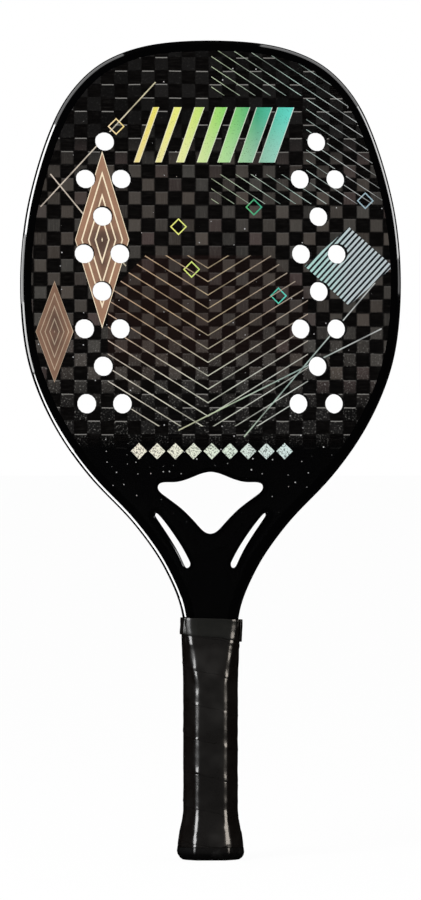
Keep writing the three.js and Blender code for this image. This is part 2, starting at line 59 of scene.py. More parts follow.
# One hollow tube of carbon fibre, moulded from the left leg in the handle round the hoop to the
# right leg. It is lacquered gloss black, and its long edges are rounded where the mould halves met.
LACQUER_BLACK = (0.0008, 0.0008, 0.0009, 1)
LACQUER_ROUGHNESS = 0.06
LACQUER_PEEL = 0.0035
LACQUER_PEEL_HEIGHT = 0.000003
LACQUER_RUB = 0.021
LACQUER_RUB_FADE = (0.35, 0.75)
LACQUER_RUB_ROUGHNESS = 0.05
LACQUER_HEAD_ON_RAMP = (0.13, 0.195, 0.12, 1)
LACQUER_ALONG_RAMP = (0.50, 0.68, 1, 0)
TUBE_SUBDIVISIONS = 2
MERGE_DISTANCE = 0.000002
QUAD_ANGLE = math.radians(50)
CREASE_ANGLE = math.radians(70)
THROUGH_SHARE = 0.9


def place(tree, kind, inputs=None, **settings):
    """A shader node with its settings, its socket values and its links."""
    made = tree.nodes.new(kind)
    for name, value in settings.items():
        setattr(made, name, value)
    for socket, value in (inputs or {}).items():
        if isinstance(value, bpy.types.NodeSocket):
            tree.links.new(value, made.inputs[socket])
        else:
            made.inputs[socket].default_value = value
    return made


def maths(tree, operation, *values):
    """The result of one Math node."""
    return place(tree, "ShaderNodeMath", dict(enumerate(values)), operation=operation).outputs[0]


def product(tree, first, second):
    """One value times another."""
    return maths(tree, "MULTIPLY", first, second)


def blended(tree, share, first, second):
    """One colour mixed into another by a share. A Mix node's colours are its sockets 6 and 7."""
    inputs = {0: share, 6: first, 7: second}
    return place(tree, "ShaderNodeMix", inputs, data_type="RGBA").outputs[2]


def eased(tree, value, low, high, from_share=0, to_share=1):
    """A value eased from one share to another between two limits, as ramps and fades hold them."""
    return place(
        tree,
        "ShaderNodeMapRange",
        {"Value": value, "From Min": low, "From Max": high, "To Min": from_share, "To Max": to_share},
        interpolation_type="SMOOTHSTEP",
    ).outputs[0]


def new_group(name, inputs, outputs):
    """An empty shader node group with its sockets, and the outputs of its input node."""
    tree = bpy.data.node_groups.new(name, "ShaderNodeTree")
    for way, sockets in (("INPUT", inputs), ("OUTPUT", outputs)):
        for socket, kind in sockets.items():
            tree.interface.new_socket(socket, in_out=way, socket_type=f"NodeSocket{kind}")
    return tree, place(tree, "NodeGroupInput").outputs


def new_material(name):
    """An empty material with its output, its Principled shader and the object's coordinates."""
    material = bpy.data.materials.new(name)
    material.use_nodes = True
    tree = material.node_tree
    tree.nodes.clear()
    shader = place(tree, "ShaderNodeBsdfPrincipled")
    place(tree, "ShaderNodeOutputMaterial", {"Surface": shader.outputs[0]})
    coordinates = place(tree, "ShaderNodeTexCoord").outputs["Object"]
    return material, tree, shader, coordinates


def fill(tree, shader, **sockets):
    """Sets the shader's sockets, by names written with underscores, to values or links."""
    for name, value in sockets.items():
        socket = shader.inputs[name.replace("_", " ")]
        if isinstance(value, bpy.types.NodeSocket):
            tree.links.new(value, socket)
        else:
            socket.default_value = value


def grain(tree, coordinates, size, detail=2.0, roughness=0.5):
    """Noise whose lumps are about the given size across."""
    return place(
        tree,
        "ShaderNodeTexNoise",
        {"Vector": coordinates, "Scale": 1 / size, "Detail": detail, "Roughness": roughness},
    ).outputs["Fac"]


def relief(tree, height, depth):
    """A normal from a height of 0 to 1 that stands for a real depth in metres."""
    inputs = {"Strength": 1.0, "Distance": 1.0, "Height": product(tree, height, depth)}
    return place(tree, "ShaderNodeBump", inputs).outputs["Normal"]


def patch_group():
    """Patches of wear as a node group, with their size and the limits between which they fade."""
    numbers = dict.fromkeys(("Size", "Detail", "Low", "High"), "Float")
    tree, given = new_group("wear_patches", {"Vector": "Vector", **numbers}, {"Share": "Float"})
    scale = maths(tree, "DIVIDE", 1.0, given["Size"])
    inputs = {"Vector": given["Vector"], "Scale": scale, "Detail": given["Detail"]}
    cloud = place(tree, "ShaderNodeTexNoise", inputs).outputs["Fac"]
    place(tree, "NodeGroupOutput", {"Share": eased(tree, cloud, given["Low"], given["High"])})
    return tree


def worn_share(tree, coordinates, size, fade, detail=2.0):
    """1 in patches of wear of the given size, from the group that the materials share."""
    low, high = fade
    inputs = {"Vector": coordinates, "Size": size, "Detail": detail, "Low": low, "High": high}
    return place(tree, "ShaderNodeGroup", inputs, node_tree=wear_patches).outputs["Share"]


def lacquer_material():
    """Gloss black lacquer with a faint orange peel. It glosses most where it is seen aslant, so the
    rim lamps draw lines along its rounded edges and leave most of its flat walls dark."""
    material, tree, shader, coordinates = new_material("gloss_black_lacquer")
    peel = grain(tree, coordinates, LACQUER_PEEL)
    rubbed = worn_share(tree, coordinates, LACQUER_RUB, LACQUER_RUB_FADE)
    facing = place(tree, "ShaderNodeLayerWeight", {"Blend": 0.5}).outputs["Facing"]
    aslant = eased(tree, facing, *LACQUER_HEAD_ON_RAMP)
    aslant = product(tree, aslant, eased(tree, facing, *LACQUER_ALONG_RAMP))
    fill(
        tree,
        shader,
        Base_Color=LACQUER_BLACK,
        Roughness=maths(tree, "MULTIPLY_ADD", rubbed, LACQUER_RUB_ROUGHNESS, LACQUER_ROUGHNESS),
        Specular_IOR_Level=0.0,
        Coat_Weight=aslant,
        Coat_Roughness=0.05,
        Normal=relief(tree, peel, LACQUER_PEEL_HEIGHT),
    )
    return material


def merged_copy(node):
    """A bmesh of a node's loose triangles, merged and joined to quads."""
    bm = bmesh.new()
    bm.from_mesh(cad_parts[node].data)
    bmesh.ops.remove_doubles(bm, verts=bm.verts, dist=MERGE_DISTANCE)
    bmesh.ops.join_triangles(
        bm, faces=bm.faces, angle_face_threshold=QUAD_ANGLE, angle_shape_threshold=QUAD_ANGLE
    )
    return bm


def creased(bm):
    """Keeps a bmesh's sharp edges, corner by corner, where they are when it is subdivided."""
    crease = bm.edges.layers.float.new("crease_edge")
    sharp = {edge for edge in bm.edges if edge.calc_face_angle(0) > CREASE_ANGLE}
    corners = {vert for edge in sharp for vert in edge.verts}
    for edge in bm.edges:
        first, second = edge.verts
        through = abs(first.co.y - second.co.y) > THROUGH_SHARE * edge.calc_length()
        pinned = through and first in corners and second in corners
        edge[crease] = 1.0 if pinned or edge in sharp else 0.0
        edge.smooth = edge not in sharp
    return bm


def mesh_object(name, bm, material):
    """An object from a bmesh."""
    mesh = bpy.data.meshes.new(name)
    bm.to_mesh(mesh)
    bm.free()
    mesh.materials.append(material)
    made = bpy.data.objects.new(name, mesh)
    scene.collection.objects.link(made)
    return made


def new_piece(name, bm, material, slot, *nodes):
    """An object from a bmesh that rides on the racket and stands for its nodes."""
    piece = mesh_object(name, bm, material)
    piece.data.shade_smooth()
    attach(piece, "root")
    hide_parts(*nodes)
    return piece


def subdivide(piece, levels):
    """Rounds a piece by live subdivision."""
    modifier = piece.modifiers.new("smooth", "SUBSURF")
    modifier.levels = levels
    modifier.render_levels = levels


wear_patches = patch_group()
black_lacquer = lacquer_material()
tube_mesh = creased(merged_copy("frame_tube"))
tube = new_piece("hoop_tube", tube_mesh, black_lacquer, "gloss_carbon", "frame_tube")
subdivide(tube, TUBE_SUBDIVISIONS)


# Foam cores

# The hoop is filled with one sheet of black EVA foam, and a block of the same foam bridges the
# legs below it. Both are cut and drilled before the faces are bonded on.
EVA_BLACK = (0.009, 0.009, 0.010, 1)
EVA_GREY = (0.016, 0.016, 0.017, 1)
EVA_CELL = 0.0006
CELL_DEPTH = 0.00012
CELL_RAMP = (0.1, 0.6)
CELL_SHADE = 0.35
FOAM_PATCH_CELLS = 9


def foam_material(name, colour, aged, cell):
    """Closed-cell foam with small open cells at its cut surface."""
    material, tree, shader, coordinates = new_material(name)
    cells = place(tree, "ShaderNodeTexVoronoi", {"Vector": coordinates, "Scale": 1 / cell})
    pits = eased(tree, cells.outputs["Distance"], *CELL_RAMP)
    tone = blended(tree, grain(tree, coordinates, cell * FOAM_PATCH_CELLS), colour, aged)
    fill(
        tree,
        shader,
        Base_Color=blended(tree, product(tree, pits, CELL_SHADE), tone, aged),
        Roughness=0.9,
        Specular_IOR_Level=0.25,
        Normal=relief(tree, pits, CELL_DEPTH),
    )
    return material


def dress(node, material):
    """Gives a CAD node that stays its material."""
    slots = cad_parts[node].data.materials
    slots.clear()
    slots.append(material)


eva_foam = foam_material("eva_foam", EVA_BLACK, EVA_GREY, EVA_CELL)
dress("head_core", eva_foam)
dress("throat_core", eva_foam)


# Faces

# Each side of the head is a sheet of spread-tow carbon, woven in 8 mm squares and bonded on the
# foam and the tube. It is drilled with 24 holes, and clear lacquer covers the weave and the print.
SQUARE = 0.0082
SQUARE_PHASE = (0.0012, 0.0022)
SQUARE_WOBBLE = 0.1
WOBBLE_SQUARES = 3
FIBRES_IN_SQUARE = 22
STREAK_RAMP = (0.45, 0.80, 0, 0.3)
DARK_STREAK_SHARE = 0.25
# The light, grey and rosy tows are the same black carbon as the dark tows: their paler colour is a
# painted reflection off fibres that run the other way.
LIGHT_TOW = (0.070, 0.056, 0.046, 1)
GREY_TOW = (0.050, 0.047, 0.042, 1)
ROSY_TOW = (0.060, 0.041, 0.038, 1)
DARK_TOW = (0.0015, 0.0009, 0.0008, 1)
# Light squares in painted shade, for above and below the band where they are painted lit.
SHADED_TOW = (0.0030, 0.0027, 0.0026, 1)
SHADED_LIGHT_TOW = (0.0110, 0.0100, 0.0096, 1)
FIBRE_SHEEN = (0.105, 0.094, 0.083, 1)
ROSY_RAMP = (0.7, 1)
DARKER_SHARE = 0.55
# Painted shade: a light square darkens towards its edges, where its tows curve down.
TOW_EDGE_SHADE_RAMP = (0.015, 0.11, 0.15, 1)
TOW_DEPTH = 0.00010
TOW_ROUGHNESS = 0.2
GLINT = (0.30, 0.29, 0.27, 1)
GLINT_WIDTH = 0.0006
GLINT_RISE = 0.94
GLINT_REACH = 0.44
GLINT_RARITY = 0.35
GLINT_RAMP = (0, 1, 0.6, 0.12)
# The mottle is drawn in the glint colour: a painted highlight on the light squares, low on the weave.
MOTTLE_SIZE = 0.0011
MOTTLE_DETAIL = (3, 0.7)
MOTTLE_RAMP = (0.56, 0.66)
MOTTLE_FADE = (0.300, 0.335, 0.5, 0.06)
# Painted light and shade: the light squares are lit in a band across the middle of the head and shaded
# towards its top and its foot.
TOP_SHADE_FADE = (0.412, 0.446, 1, 0)
FOOT_SHADE_FADE = (0.274, 0.304)
WEAVE_END = (0.250, 0.262)
SPECK = (0.42, 0.42, 0.42, 1)
SPECK_PITCH = 0.0070
SPECK_SIZE = 0.00045
SPECK_FADE = (0.200, 0.230)
SPECK_RARITY = (0.30, 0.86)
HOLE_EDGE = 0.0005
HOLE_EDGE_STEPS = 3
ROUND_TOLERANCE = 0.00003
WALL_SLOPE = 0.5
GLUE_LINE = 0.00027

# The print: slanted bars above, nested chevrons below, lozenges, hatching, hairlines and diamonds.
# A zone is the middle and the half sizes of a box or a lozenge on the face.
BROWN = (0.105, 0.060, 0.043, 1)
COPPER = (0.270, 0.125, 0.078, 1)
TAN = (0.340, 0.185, 0.112, 1)
PALE_CREAM = (0.930, 0.780, 0.560, 1)
PEACH = (0.560, 0.340, 0.200, 1)
CREAM = (0.840, 0.660, 0.400, 1)
GOLD = (0.780, 0.600, 0.080, 1)
LEMON = (0.740, 0.760, 0.190, 1)
LEAF = (0.240, 0.620, 0.130, 1)
TEAL = (0.040, 0.360, 0.190, 1)
AQUA = (0.110, 0.640, 0.540, 1)
ICE = (0.300, 0.420, 0.480, 1)
SPECTRUM = [
    (-0.105, PEACH), (-0.062, CREAM), (-0.046, GOLD), (-0.020, LEMON),
    (0.008, LEAF), (0.028, TEAL), (0.050, AQUA), (0.085, ICE),
]
SPECTRUM_WIDTH = 0.222
PALE_LINE = (0.76, 0.73, 0.67, 1)
PALENESS = 0.62
PRINT_GRAIN = 0.0007
PRINT_PATCH = 0.012
WEAR_RAMP = (0.28, 0.38, 0.62, 0.97)
BAR_MIDDLE = (-0.0010, 0.442)
BAR_REACH = (0.0460, 0.0168)
BAR_PITCH = 0.0132
BAR_SLANT = 0.35
BAR_WIDTHS = (0.0018, 0.0052)
BAR_RIM = 0.0005
BAR_FADE = (0.4252, 0.4588, 0.45, 0)
BAR_CLEARING = (0, 0.442, 0.058, 0.024)
EARTH = (0.020, 0.0060, 0.0040, 1)
EARTH_ACROSS = (-0.03, 0.061, 0.4, 0.2)
EARTH_UP = (0.285, 0.315)
CHEVRON_ZONE = (-0.002, 0.3165, 0.061, 0.052)
CHEVRON_BOUND = (-0.002, 0.3165, 0.088, 0.092)
CHEVRON_PITCH = 0.0082
CHEVRON_SLOPE = 0.62
CHEVRON_LINE = 0.00036
CHEVRON_PALENESS = 0.85
CHEVRON_COVER = (0.3, 0.6, 0.38, 0.72)
ROSY_LINE = (0.520, 0.340, 0.255, 1)
ROSY_FADE = (0.285, 0.335)
HAIRLINE_ZONE = (0.062, 0.447, 0.062, 0.047)
HAIRLINE_PITCH = 0.0062
HAIRLINE_SLOPE = -0.66
HAIRLINE = 0.00024
HAIRLINE_COVER = (0.3, 0.65, 0.22, 0.74)
LOZENGES = [(-0.0665, 0.378, 0.0165, 0.054), (-0.0955, 0.322, 0.0115, 0.031)]
LOZENGE_RING = 0.25
LOZENGE_LINE = 0.026
LOZENGE_MOTTLE = 0.7
LOZENGE_RAMP = (0, 0.9)
LOZENGE_COVER = (0.3, 0.7, 0.86, 0.97)
COPPER_RAMP = (0.55, 0.8, 0, 0.6)
PLAIN_SHADE = (-0.090, -0.078, 0.5, 0)
PLAIN_LINES = (-0.090, -0.078, 0.3, 1)
HATCH_ZONE = (0.084, 0.362, 0.027, 0.024)
HATCH_PITCH = 0.0040
HATCH_LINE = 0.00108
HATCH_SLOPE = 1.1
HATCH_GROUND = (0.004, 0.008, 0.014, 1)
HATCH_PALENESS = 0.35
HATCH_COVER = 0.7
LONG_LINES = [
    (-0.104, 0.398, -0.034, 0.474), (-0.098, 0.418, -0.052, 0.362),
    (-0.020, 0.262, 0.104, 0.324), (0.020, 0.258, 0.100, 0.352),
]
LONG_LINE = 0.000384
DIAMOND_MARKS = [
    (-0.020, 0.386), (0.026, 0.398), (0.041, 0.344), (0.094, 0.402), (-0.058, 0.447), (-0.012, 0.360),
]
DIAMOND_SIZE = 0.0052
DIAMOND_LINE = 0.1
ROW_MIDDLE = (0.0003, 0.2493)
ROW_REACH = 0.0500
ROW_DIAMOND = 0.0050
ROW_PITCH = 0.0111
ROW_SILVER = (0.80, 0.80, 0.80, 1)
ROW_TINT = 0.25
ROW_FLAKES = (0.52, 0.60, 0, 0.8)


def absolute(tree, value):
    """A value without its sign."""
    return maths(tree, "ABSOLUTE", value)


def split(tree, vector):
    """The X, Y and Z of a vector or a colour."""
    return place(tree, "ShaderNodeSeparateXYZ", {0: vector}).outputs


def on_plane(tree, x, y):
    """The vector of a point on a plane."""
    return place(tree, "ShaderNodeCombineXYZ", {0: x, 1: y}).outputs[0]


def near(tree, value, reach, centre=0.0):
    """1 where a value is within a reach of a centre."""
    return maths(tree, "COMPARE", value, centre, reach)


def repeated(tree, value, pitch):
    """Distance, with its sign, to the nearest of lines a pitch apart."""
    return maths(tree, "WRAP", value, pitch / 2, -pitch / 2)


def any_of(tree, masks):
    """1 where any of the masks is."""
    joined = masks[0]
    for mask in masks[1:]:
        joined = maths(tree, "MAXIMUM", joined, mask)
    return joined


def all_of(tree, masks):
    """1 where all the masks are."""
    joined = masks[0]
    for mask in masks[1:]:
        joined = product(tree, joined, mask)
    return joined


def off(tree, value, centre):
    """How far a value is from a centre, with its sign."""
    return maths(tree, "SUBTRACT", value, centre)


def box_mask(tree, across, up, zone):
    """1 in a box given by its centre and half sizes."""
    x, z, half_width, half_height = zone
    return all_of(tree, [near(tree, across, half_width, x), near(tree, up, half_height, z)])


def lozenge_distance(tree, across, up, zone):
    """0 at a lozenge's centre and 1 on its edge."""
    x, z, half_width, half_height = zone
    sideways = maths(tree, "DIVIDE", absolute(tree, off(tree, across, x)), half_width)
    upwards = maths(tree, "DIVIDE", absolute(tree, off(tree, up, z)), half_height)
    return maths(tree, "ADD", sideways, upwards)


def stroke(tree, across, up, ends, half_width):
    """1 on a straight line between two points."""
    x0, z0, x1, z1 = ends
    run, rise = x1 - x0, z1 - z0
    length = math.hypot(run, rise)
    from_x, from_z = off(tree, across, x0), off(tree, up, z0)
    along = maths(
        tree, "ADD", product(tree, from_x, run / length), product(tree, from_z, rise / length)
    )
    aside = maths(
        tree, "SUBTRACT", product(tree, from_x, rise / length), product(tree, from_z, run / length)
    )
    return all_of(tree, [
        near(tree, aside, half_width), near(tree, along, length / 2, length / 2),
    ])


def print_group():
    """The printed design as a node group: its colour and where it covers the weave."""
    outputs = {"Colour": "Color", "Cover": "Float"}
    tree, given = new_group("face_print", {"Vector": "Vector"}, outputs)
    across, _, up = split(tree, given["Vector"])
    fine = grain(tree, given["Vector"], PRINT_GRAIN, 1.0)
    broad = grain(tree, given["Vector"], PRINT_PATCH)

    ramp = place(
        tree, "ShaderNodeValToRGB", {0: maths(tree, "MULTIPLY_ADD", across, 1 / SPECTRUM_WIDTH, 0.5)}
    )
    stops = ramp.color_ramp.elements
    while len(stops) < len(SPECTRUM):
        stops.new(0.5)
    for stop, (x, colour) in zip(stops, SPECTRUM):
        stop.position = x / SPECTRUM_WIDTH + 0.5
        stop.color = colour
    spectrum = ramp.outputs[0]

    bar_x, bar_z = BAR_MIDDLE
    slanted = maths(tree, "MULTIPLY_ADD", off(tree, up, bar_z), -BAR_SLANT, across)
    bar_width = eased(tree, across, -BAR_REACH[0], BAR_REACH[0], *BAR_WIDTHS)
    from_bar = absolute(tree, repeated(tree, slanted, BAR_PITCH))
    bars = all_of(tree, [
        maths(tree, "LESS_THAN", from_bar, bar_width),
        near(tree, slanted, BAR_REACH[0], bar_x),
        near(tree, up, BAR_REACH[1], bar_z),
    ])
    bar_rim = all_of(tree, [bars, maths(tree, "GREATER_THAN", from_bar, off(tree, bar_width, BAR_RIM))])

    folded = maths(
        tree, "MULTIPLY_ADD", absolute(tree, off(tree, across, CHEVRON_ZONE[0])), -CHEVRON_SLOPE, up
    )
    in_chevrons = all_of(tree, [
        box_mask(tree, across, up, CHEVRON_ZONE),
        maths(tree, "LESS_THAN", lozenge_distance(tree, across, up, CHEVRON_BOUND), 1.0),
    ])
    chevrons = all_of(tree, [
        in_chevrons, near(tree, repeated(tree, folded, CHEVRON_PITCH), CHEVRON_LINE),
    ])
    earth = all_of(tree, [
        in_chevrons, eased(tree, across, *EARTH_ACROSS), eased(tree, up, *EARTH_UP),
    ])

    falling = maths(tree, "MULTIPLY_ADD", across, -HAIRLINE_SLOPE, up)
    hairlines = all_of(tree, [
        near(tree, repeated(tree, falling, HAIRLINE_PITCH), HAIRLINE),
        box_mask(tree, across, up, HAIRLINE_ZONE),
        maths(tree, "SUBTRACT", 1.0, box_mask(tree, across, up, BAR_CLEARING)),
    ])

    distances = [lozenge_distance(tree, across, up, zone) for zone in LOZENGES]
    inward = maths(tree, "MINIMUM", *distances)
    solid = maths(tree, "LESS_THAN", inward, 1.0)
    rings = all_of(tree, [
        solid, near(tree, repeated(tree, off(tree, inward, 1.0), LOZENGE_RING), LOZENGE_LINE),
    ])

    rising = maths(tree, "MULTIPLY_ADD", across, -HATCH_SLOPE, up)
    in_hatch = maths(tree, "LESS_THAN", lozenge_distance(tree, across, up, HATCH_ZONE), 1.0)
    hatch = all_of(tree, [
        in_hatch, near(tree, repeated(tree, rising, HATCH_PITCH), HATCH_LINE),
    ])

    strokes = any_of(tree, [stroke(tree, across, up, ends, LONG_LINE) for ends in LONG_LINES])
    outlines = []
    for x, z in DIAMOND_MARKS:
        from_middle = lozenge_distance(tree, across, up, (x, z, DIAMOND_SIZE, DIAMOND_SIZE))
        outlines.append(near(tree, from_middle, DIAMOND_LINE, 1 - DIAMOND_LINE))
    marks = any_of(tree, outlines)

    row_x, row_z = ROW_MIDDLE
    row_across = repeated(tree, off(tree, across, row_x), ROW_PITCH)
    row_distance = lozenge_distance(tree, row_across, up, (0, row_z, ROW_DIAMOND, ROW_DIAMOND))
    row = all_of(tree, [
        maths(tree, "LESS_THAN", row_distance, 1.0),
        near(tree, across, ROW_REACH, row_x),
    ])

    pale = blended(tree, PALENESS, spectrum, PALE_LINE)
    foil = blended(tree, any_of(tree, [eased(tree, up, *BAR_FADE), bar_rim]), spectrum, pale)
    from_core = maths(
        tree, "MULTIPLY_ADD", broad, LOZENGE_MOTTLE, off(tree, inward, LOZENGE_MOTTLE / 2)
    )
    warm = blended(tree, eased(tree, from_core, *LOZENGE_RAMP), BROWN, TAN)
    warm = blended(tree, eased(tree, broad, *COPPER_RAMP), warm, COPPER)
    warm = blended(tree, eased(tree, across, *PLAIN_SHADE), warm, BROWN)
    warm = blended(tree, product(tree, rings, eased(tree, across, *PLAIN_LINES)), warm, PALE_CREAM)
    silver = blended(tree, ROW_TINT, ROW_SILVER, spectrum)
    silver = blended(tree, eased(tree, fine, *ROW_FLAKES), silver, SHADED_TOW)
    rosy = blended(tree, eased(tree, up, *ROSY_FADE), PALE_LINE, ROSY_LINE)
    colour = foil
    for mask, tone in (
        (in_chevrons, EARTH),
        (marks, spectrum),
        (chevrons, blended(tree, CHEVRON_PALENESS, spectrum, rosy)),
        (any_of(tree, [hairlines, strokes]), pale),
        (in_hatch, HATCH_GROUND),
        (hatch, blended(tree, HATCH_PALENESS, spectrum, PALE_LINE)),
        (solid, warm),
        (row, silver),
    ):
        colour = blended(tree, mask, colour, tone)
    cover = any_of(tree, [
        product(tree, any_of(tree, [chevrons, strokes]), eased(tree, broad, *CHEVRON_COVER)),
        product(tree, hairlines, eased(tree, broad, *HAIRLINE_COVER)),
        product(tree, any_of(tree, [bars, hatch, marks]), eased(tree, fine, *WEAR_RAMP)),
        product(tree, in_hatch, HATCH_COVER),
        product(tree, solid, eased(tree, broad, *LOZENGE_COVER)),
        earth,
        row,
    ])
    place(tree, "NodeGroupOutput", {"Colour": colour, "Cover": cover})
    return tree


def weave_group():
    """The weave as a node group, with black paint at the throat: its colour, its roughness and how
    far its tows bulge."""
    outputs = {"Colour": "Color", "Roughness": "Float", "Bulge": "Float"}
    tree, given = new_group("carbon_weave", {"Vector": "Vector"}, outputs)
    coordinates = given["Vector"]
    parts = split(tree, coordinates)
    wobble = place(
        tree, "ShaderNodeTexNoise", {"Vector": coordinates, "Scale": 1 / (WOBBLE_SQUARES * SQUARE)}
    )
    sway = split(tree, wobble.outputs["Color"])
    squares = []
    for axis, shift in zip("XZ", SQUARE_PHASE):
        along = maths(tree, "DIVIDE", maths(tree, "ADD", parts[axis], shift), SQUARE)
        squares.append(maths(tree, "MULTIPLY_ADD", sway[axis], SQUARE_WOBBLE, along))
    u, v = squares
    cell_u, cell_v = maths(tree, "FLOOR", u), maths(tree, "FLOOR", v)
    in_u, in_v = maths(tree, "FRACT", u), maths(tree, "FRACT", v)
    parity = maths(tree, "PINGPONG", maths(tree, "ADD", cell_u, cell_v), 1.0)
    inputs = {"Vector": on_plane(tree, cell_u, cell_v)}
    chance = place(tree, "ShaderNodeTexWhiteNoise", inputs, noise_dimensions="2D")
    luck = split(tree, chance.outputs["Color"])

    upright = grain(tree, on_plane(tree, product(tree, u, FIBRES_IN_SQUARE), v), 1.0, 1.0)
    level = grain(tree, on_plane(tree, u, product(tree, v, FIBRES_IN_SQUARE)), 1.0, 1.0)
    fibres = place(tree, "ShaderNodeMix", {"A": level, "B": upright, "Factor": parity}).outputs[0]
    # Fibre streaks, drawn in the fibre sheen colour, are a painted sheen.
    streaks = eased(tree, fibres, *STREAK_RAMP)

    up = parts["Z"]
    # Painted light: the light squares are lit in a middle band and in painted shade above and below it.
    lit = product(tree, eased(tree, up, *TOP_SHADE_FADE), eased(tree, up, *FOOT_SHADE_FADE))
    # Light squares: the painted reflection of their fibres, in tones that differ at random.
    light = blended(tree, luck["X"], LIGHT_TOW, GREY_TOW)
    light = blended(tree, eased(tree, luck["Z"], *ROSY_RAMP), light, ROSY_TOW)
    light = blended(tree, product(tree, luck["Y"], DARKER_SHARE), light, DARK_TOW)
    light = blended(tree, streaks, light, FIBRE_SHEEN)
    # Painted shade towards the edges of each light square.
    to_side, to_end = maths(tree, "PINGPONG", u, 0.5), maths(tree, "PINGPONG", v, 0.5)
    to_edge = maths(tree, "MINIMUM", to_side, to_end)
    light = blended(tree, eased(tree, to_edge, *TOW_EDGE_SHADE_RAMP), DARK_TOW, light)
    shaded = blended(tree, luck["Y"], SHADED_TOW, SHADED_LIGHT_TOW)
    light = blended(tree, lit, shaded, light)
    dark = blended(tree, product(tree, streaks, DARK_STREAK_SHARE), DARK_TOW, FIBRE_SHEEN)
    tow = blended(tree, parity, dark, light)
    glint = all_of(tree, [
        parity,
        near(tree, in_v, GLINT_WIDTH / SQUARE / 2, GLINT_RISE),
        maths(tree, "GREATER_THAN", luck["Z"], GLINT_RARITY),
        near(tree, in_u, GLINT_REACH, 0.5),
        eased(tree, lit, *GLINT_RAMP),
    ])
    # Painted highlight: a mottle in the glint colour on the light squares low on the weave.
    mottle = eased(tree, grain(tree, coordinates, MOTTLE_SIZE, *MOTTLE_DETAIL), *MOTTLE_RAMP)
    mottled = all_of(tree, [mottle, parity, eased(tree, up, *MOTTLE_FADE)])
    tow = blended(tree, mottled, tow, GLINT)
    tow = blended(tree, glint, tow, GLINT)

    inputs = {"Vector": on_plane(tree, parts["X"], up), "Scale": 1 / SPECK_PITCH}
    specks = place(tree, "ShaderNodeTexVoronoi", inputs, voronoi_dimensions="2D")
    speck_luck = split(tree, specks.outputs["Color"])
    speck_reach = product(tree, speck_luck["Y"], SPECK_SIZE / SPECK_PITCH)
    speck = all_of(tree, [
        maths(tree, "LESS_THAN", specks.outputs["Distance"], speck_reach),
        maths(tree, "GREATER_THAN", speck_luck["X"], eased(tree, up, *WEAVE_END, *SPECK_RARITY)),
        eased(tree, up, *SPECK_FADE),
    ])
    woven = eased(tree, up, *WEAVE_END)
    crown = place(tree, "ShaderNodeMix", {"A": to_end, "B": to_side, "Factor": parity}).outputs[0]
    rough = maths(tree, "MULTIPLY_ADD", fibres, TOW_ROUGHNESS, TOW_ROUGHNESS)
    place(tree, "NodeGroupOutput", {
        "Colour": blended(tree, speck, blended(tree, woven, LACQUER_BLACK, tow), SPECK),
        "Roughness": maths(tree, "MULTIPLY_ADD", rough, woven, LACQUER_ROUGHNESS),
        "Bulge": product(tree, maths(tree, "SQRT", crown), woven),
    })
    return tree


def face_material(name):
    """Spread-tow carbon and the print on it, under clear lacquer."""
    material, tree, shader, coordinates = new_material(name)
    inputs = {"Vector": coordinates}
    weave = place(tree, "ShaderNodeGroup", inputs, node_tree=carbon_weave).outputs
    design = place(tree, "ShaderNodeGroup", inputs, node_tree=face_print).outputs
    fill(
        tree,
        shader,
        Base_Color=blended(tree, design["Cover"], weave["Colour"], design["Colour"]),
        Roughness=weave["Roughness"],
        Specular_IOR_Level=0.35,
        Coat_Weight=1.0,
        Coat_Roughness=0.04,
        Normal=relief(tree, weave["Bulge"], TOW_DEPTH),
    )
    return material


def linked_loops(edges):
    """The edges sorted into closed loops."""
    left, loops = set(edges), []
    while left:
        loop, waiting = [], [left.pop()]
        while waiting:
            edge = waiting.pop()
            loop.append(edge)
            for other in {e for vert in edge.verts for e in vert.link_edges} & left:
                left.remove(other)
                waiting.append(other)
        loops.append(loop)
    return loops


def is_rim(edge):
    """Whether an edge lies between a flat side of the sheet and a wall."""
    slopes = sorted(abs(face.normal.y) for face in edge.link_faces)
    return len(slopes) == 2 and slopes[0] < WALL_SLOPE < slopes[1]


def wall_normal(vert):
    """The direction in which the walls at a corner of the sheet face."""
    walls = [face.normal for face in vert.link_faces if abs(face.normal.y) < WALL_SLOPE]
    return sum(walls, Vector()).normalized()


def circle_of(loop):
    """A loop's corners, their middle, the longest reach from it and whether all are as far."""
    verts = {vert for edge in loop for vert in edge.verts}
    middle = sum((vert.co for vert in verts), Vector()) / len(verts)
    reach = [(vert.co - middle).length for vert in verts]
    return verts, middle, max(reach), max(reach) - min(reach) < ROUND_TOLERANCE


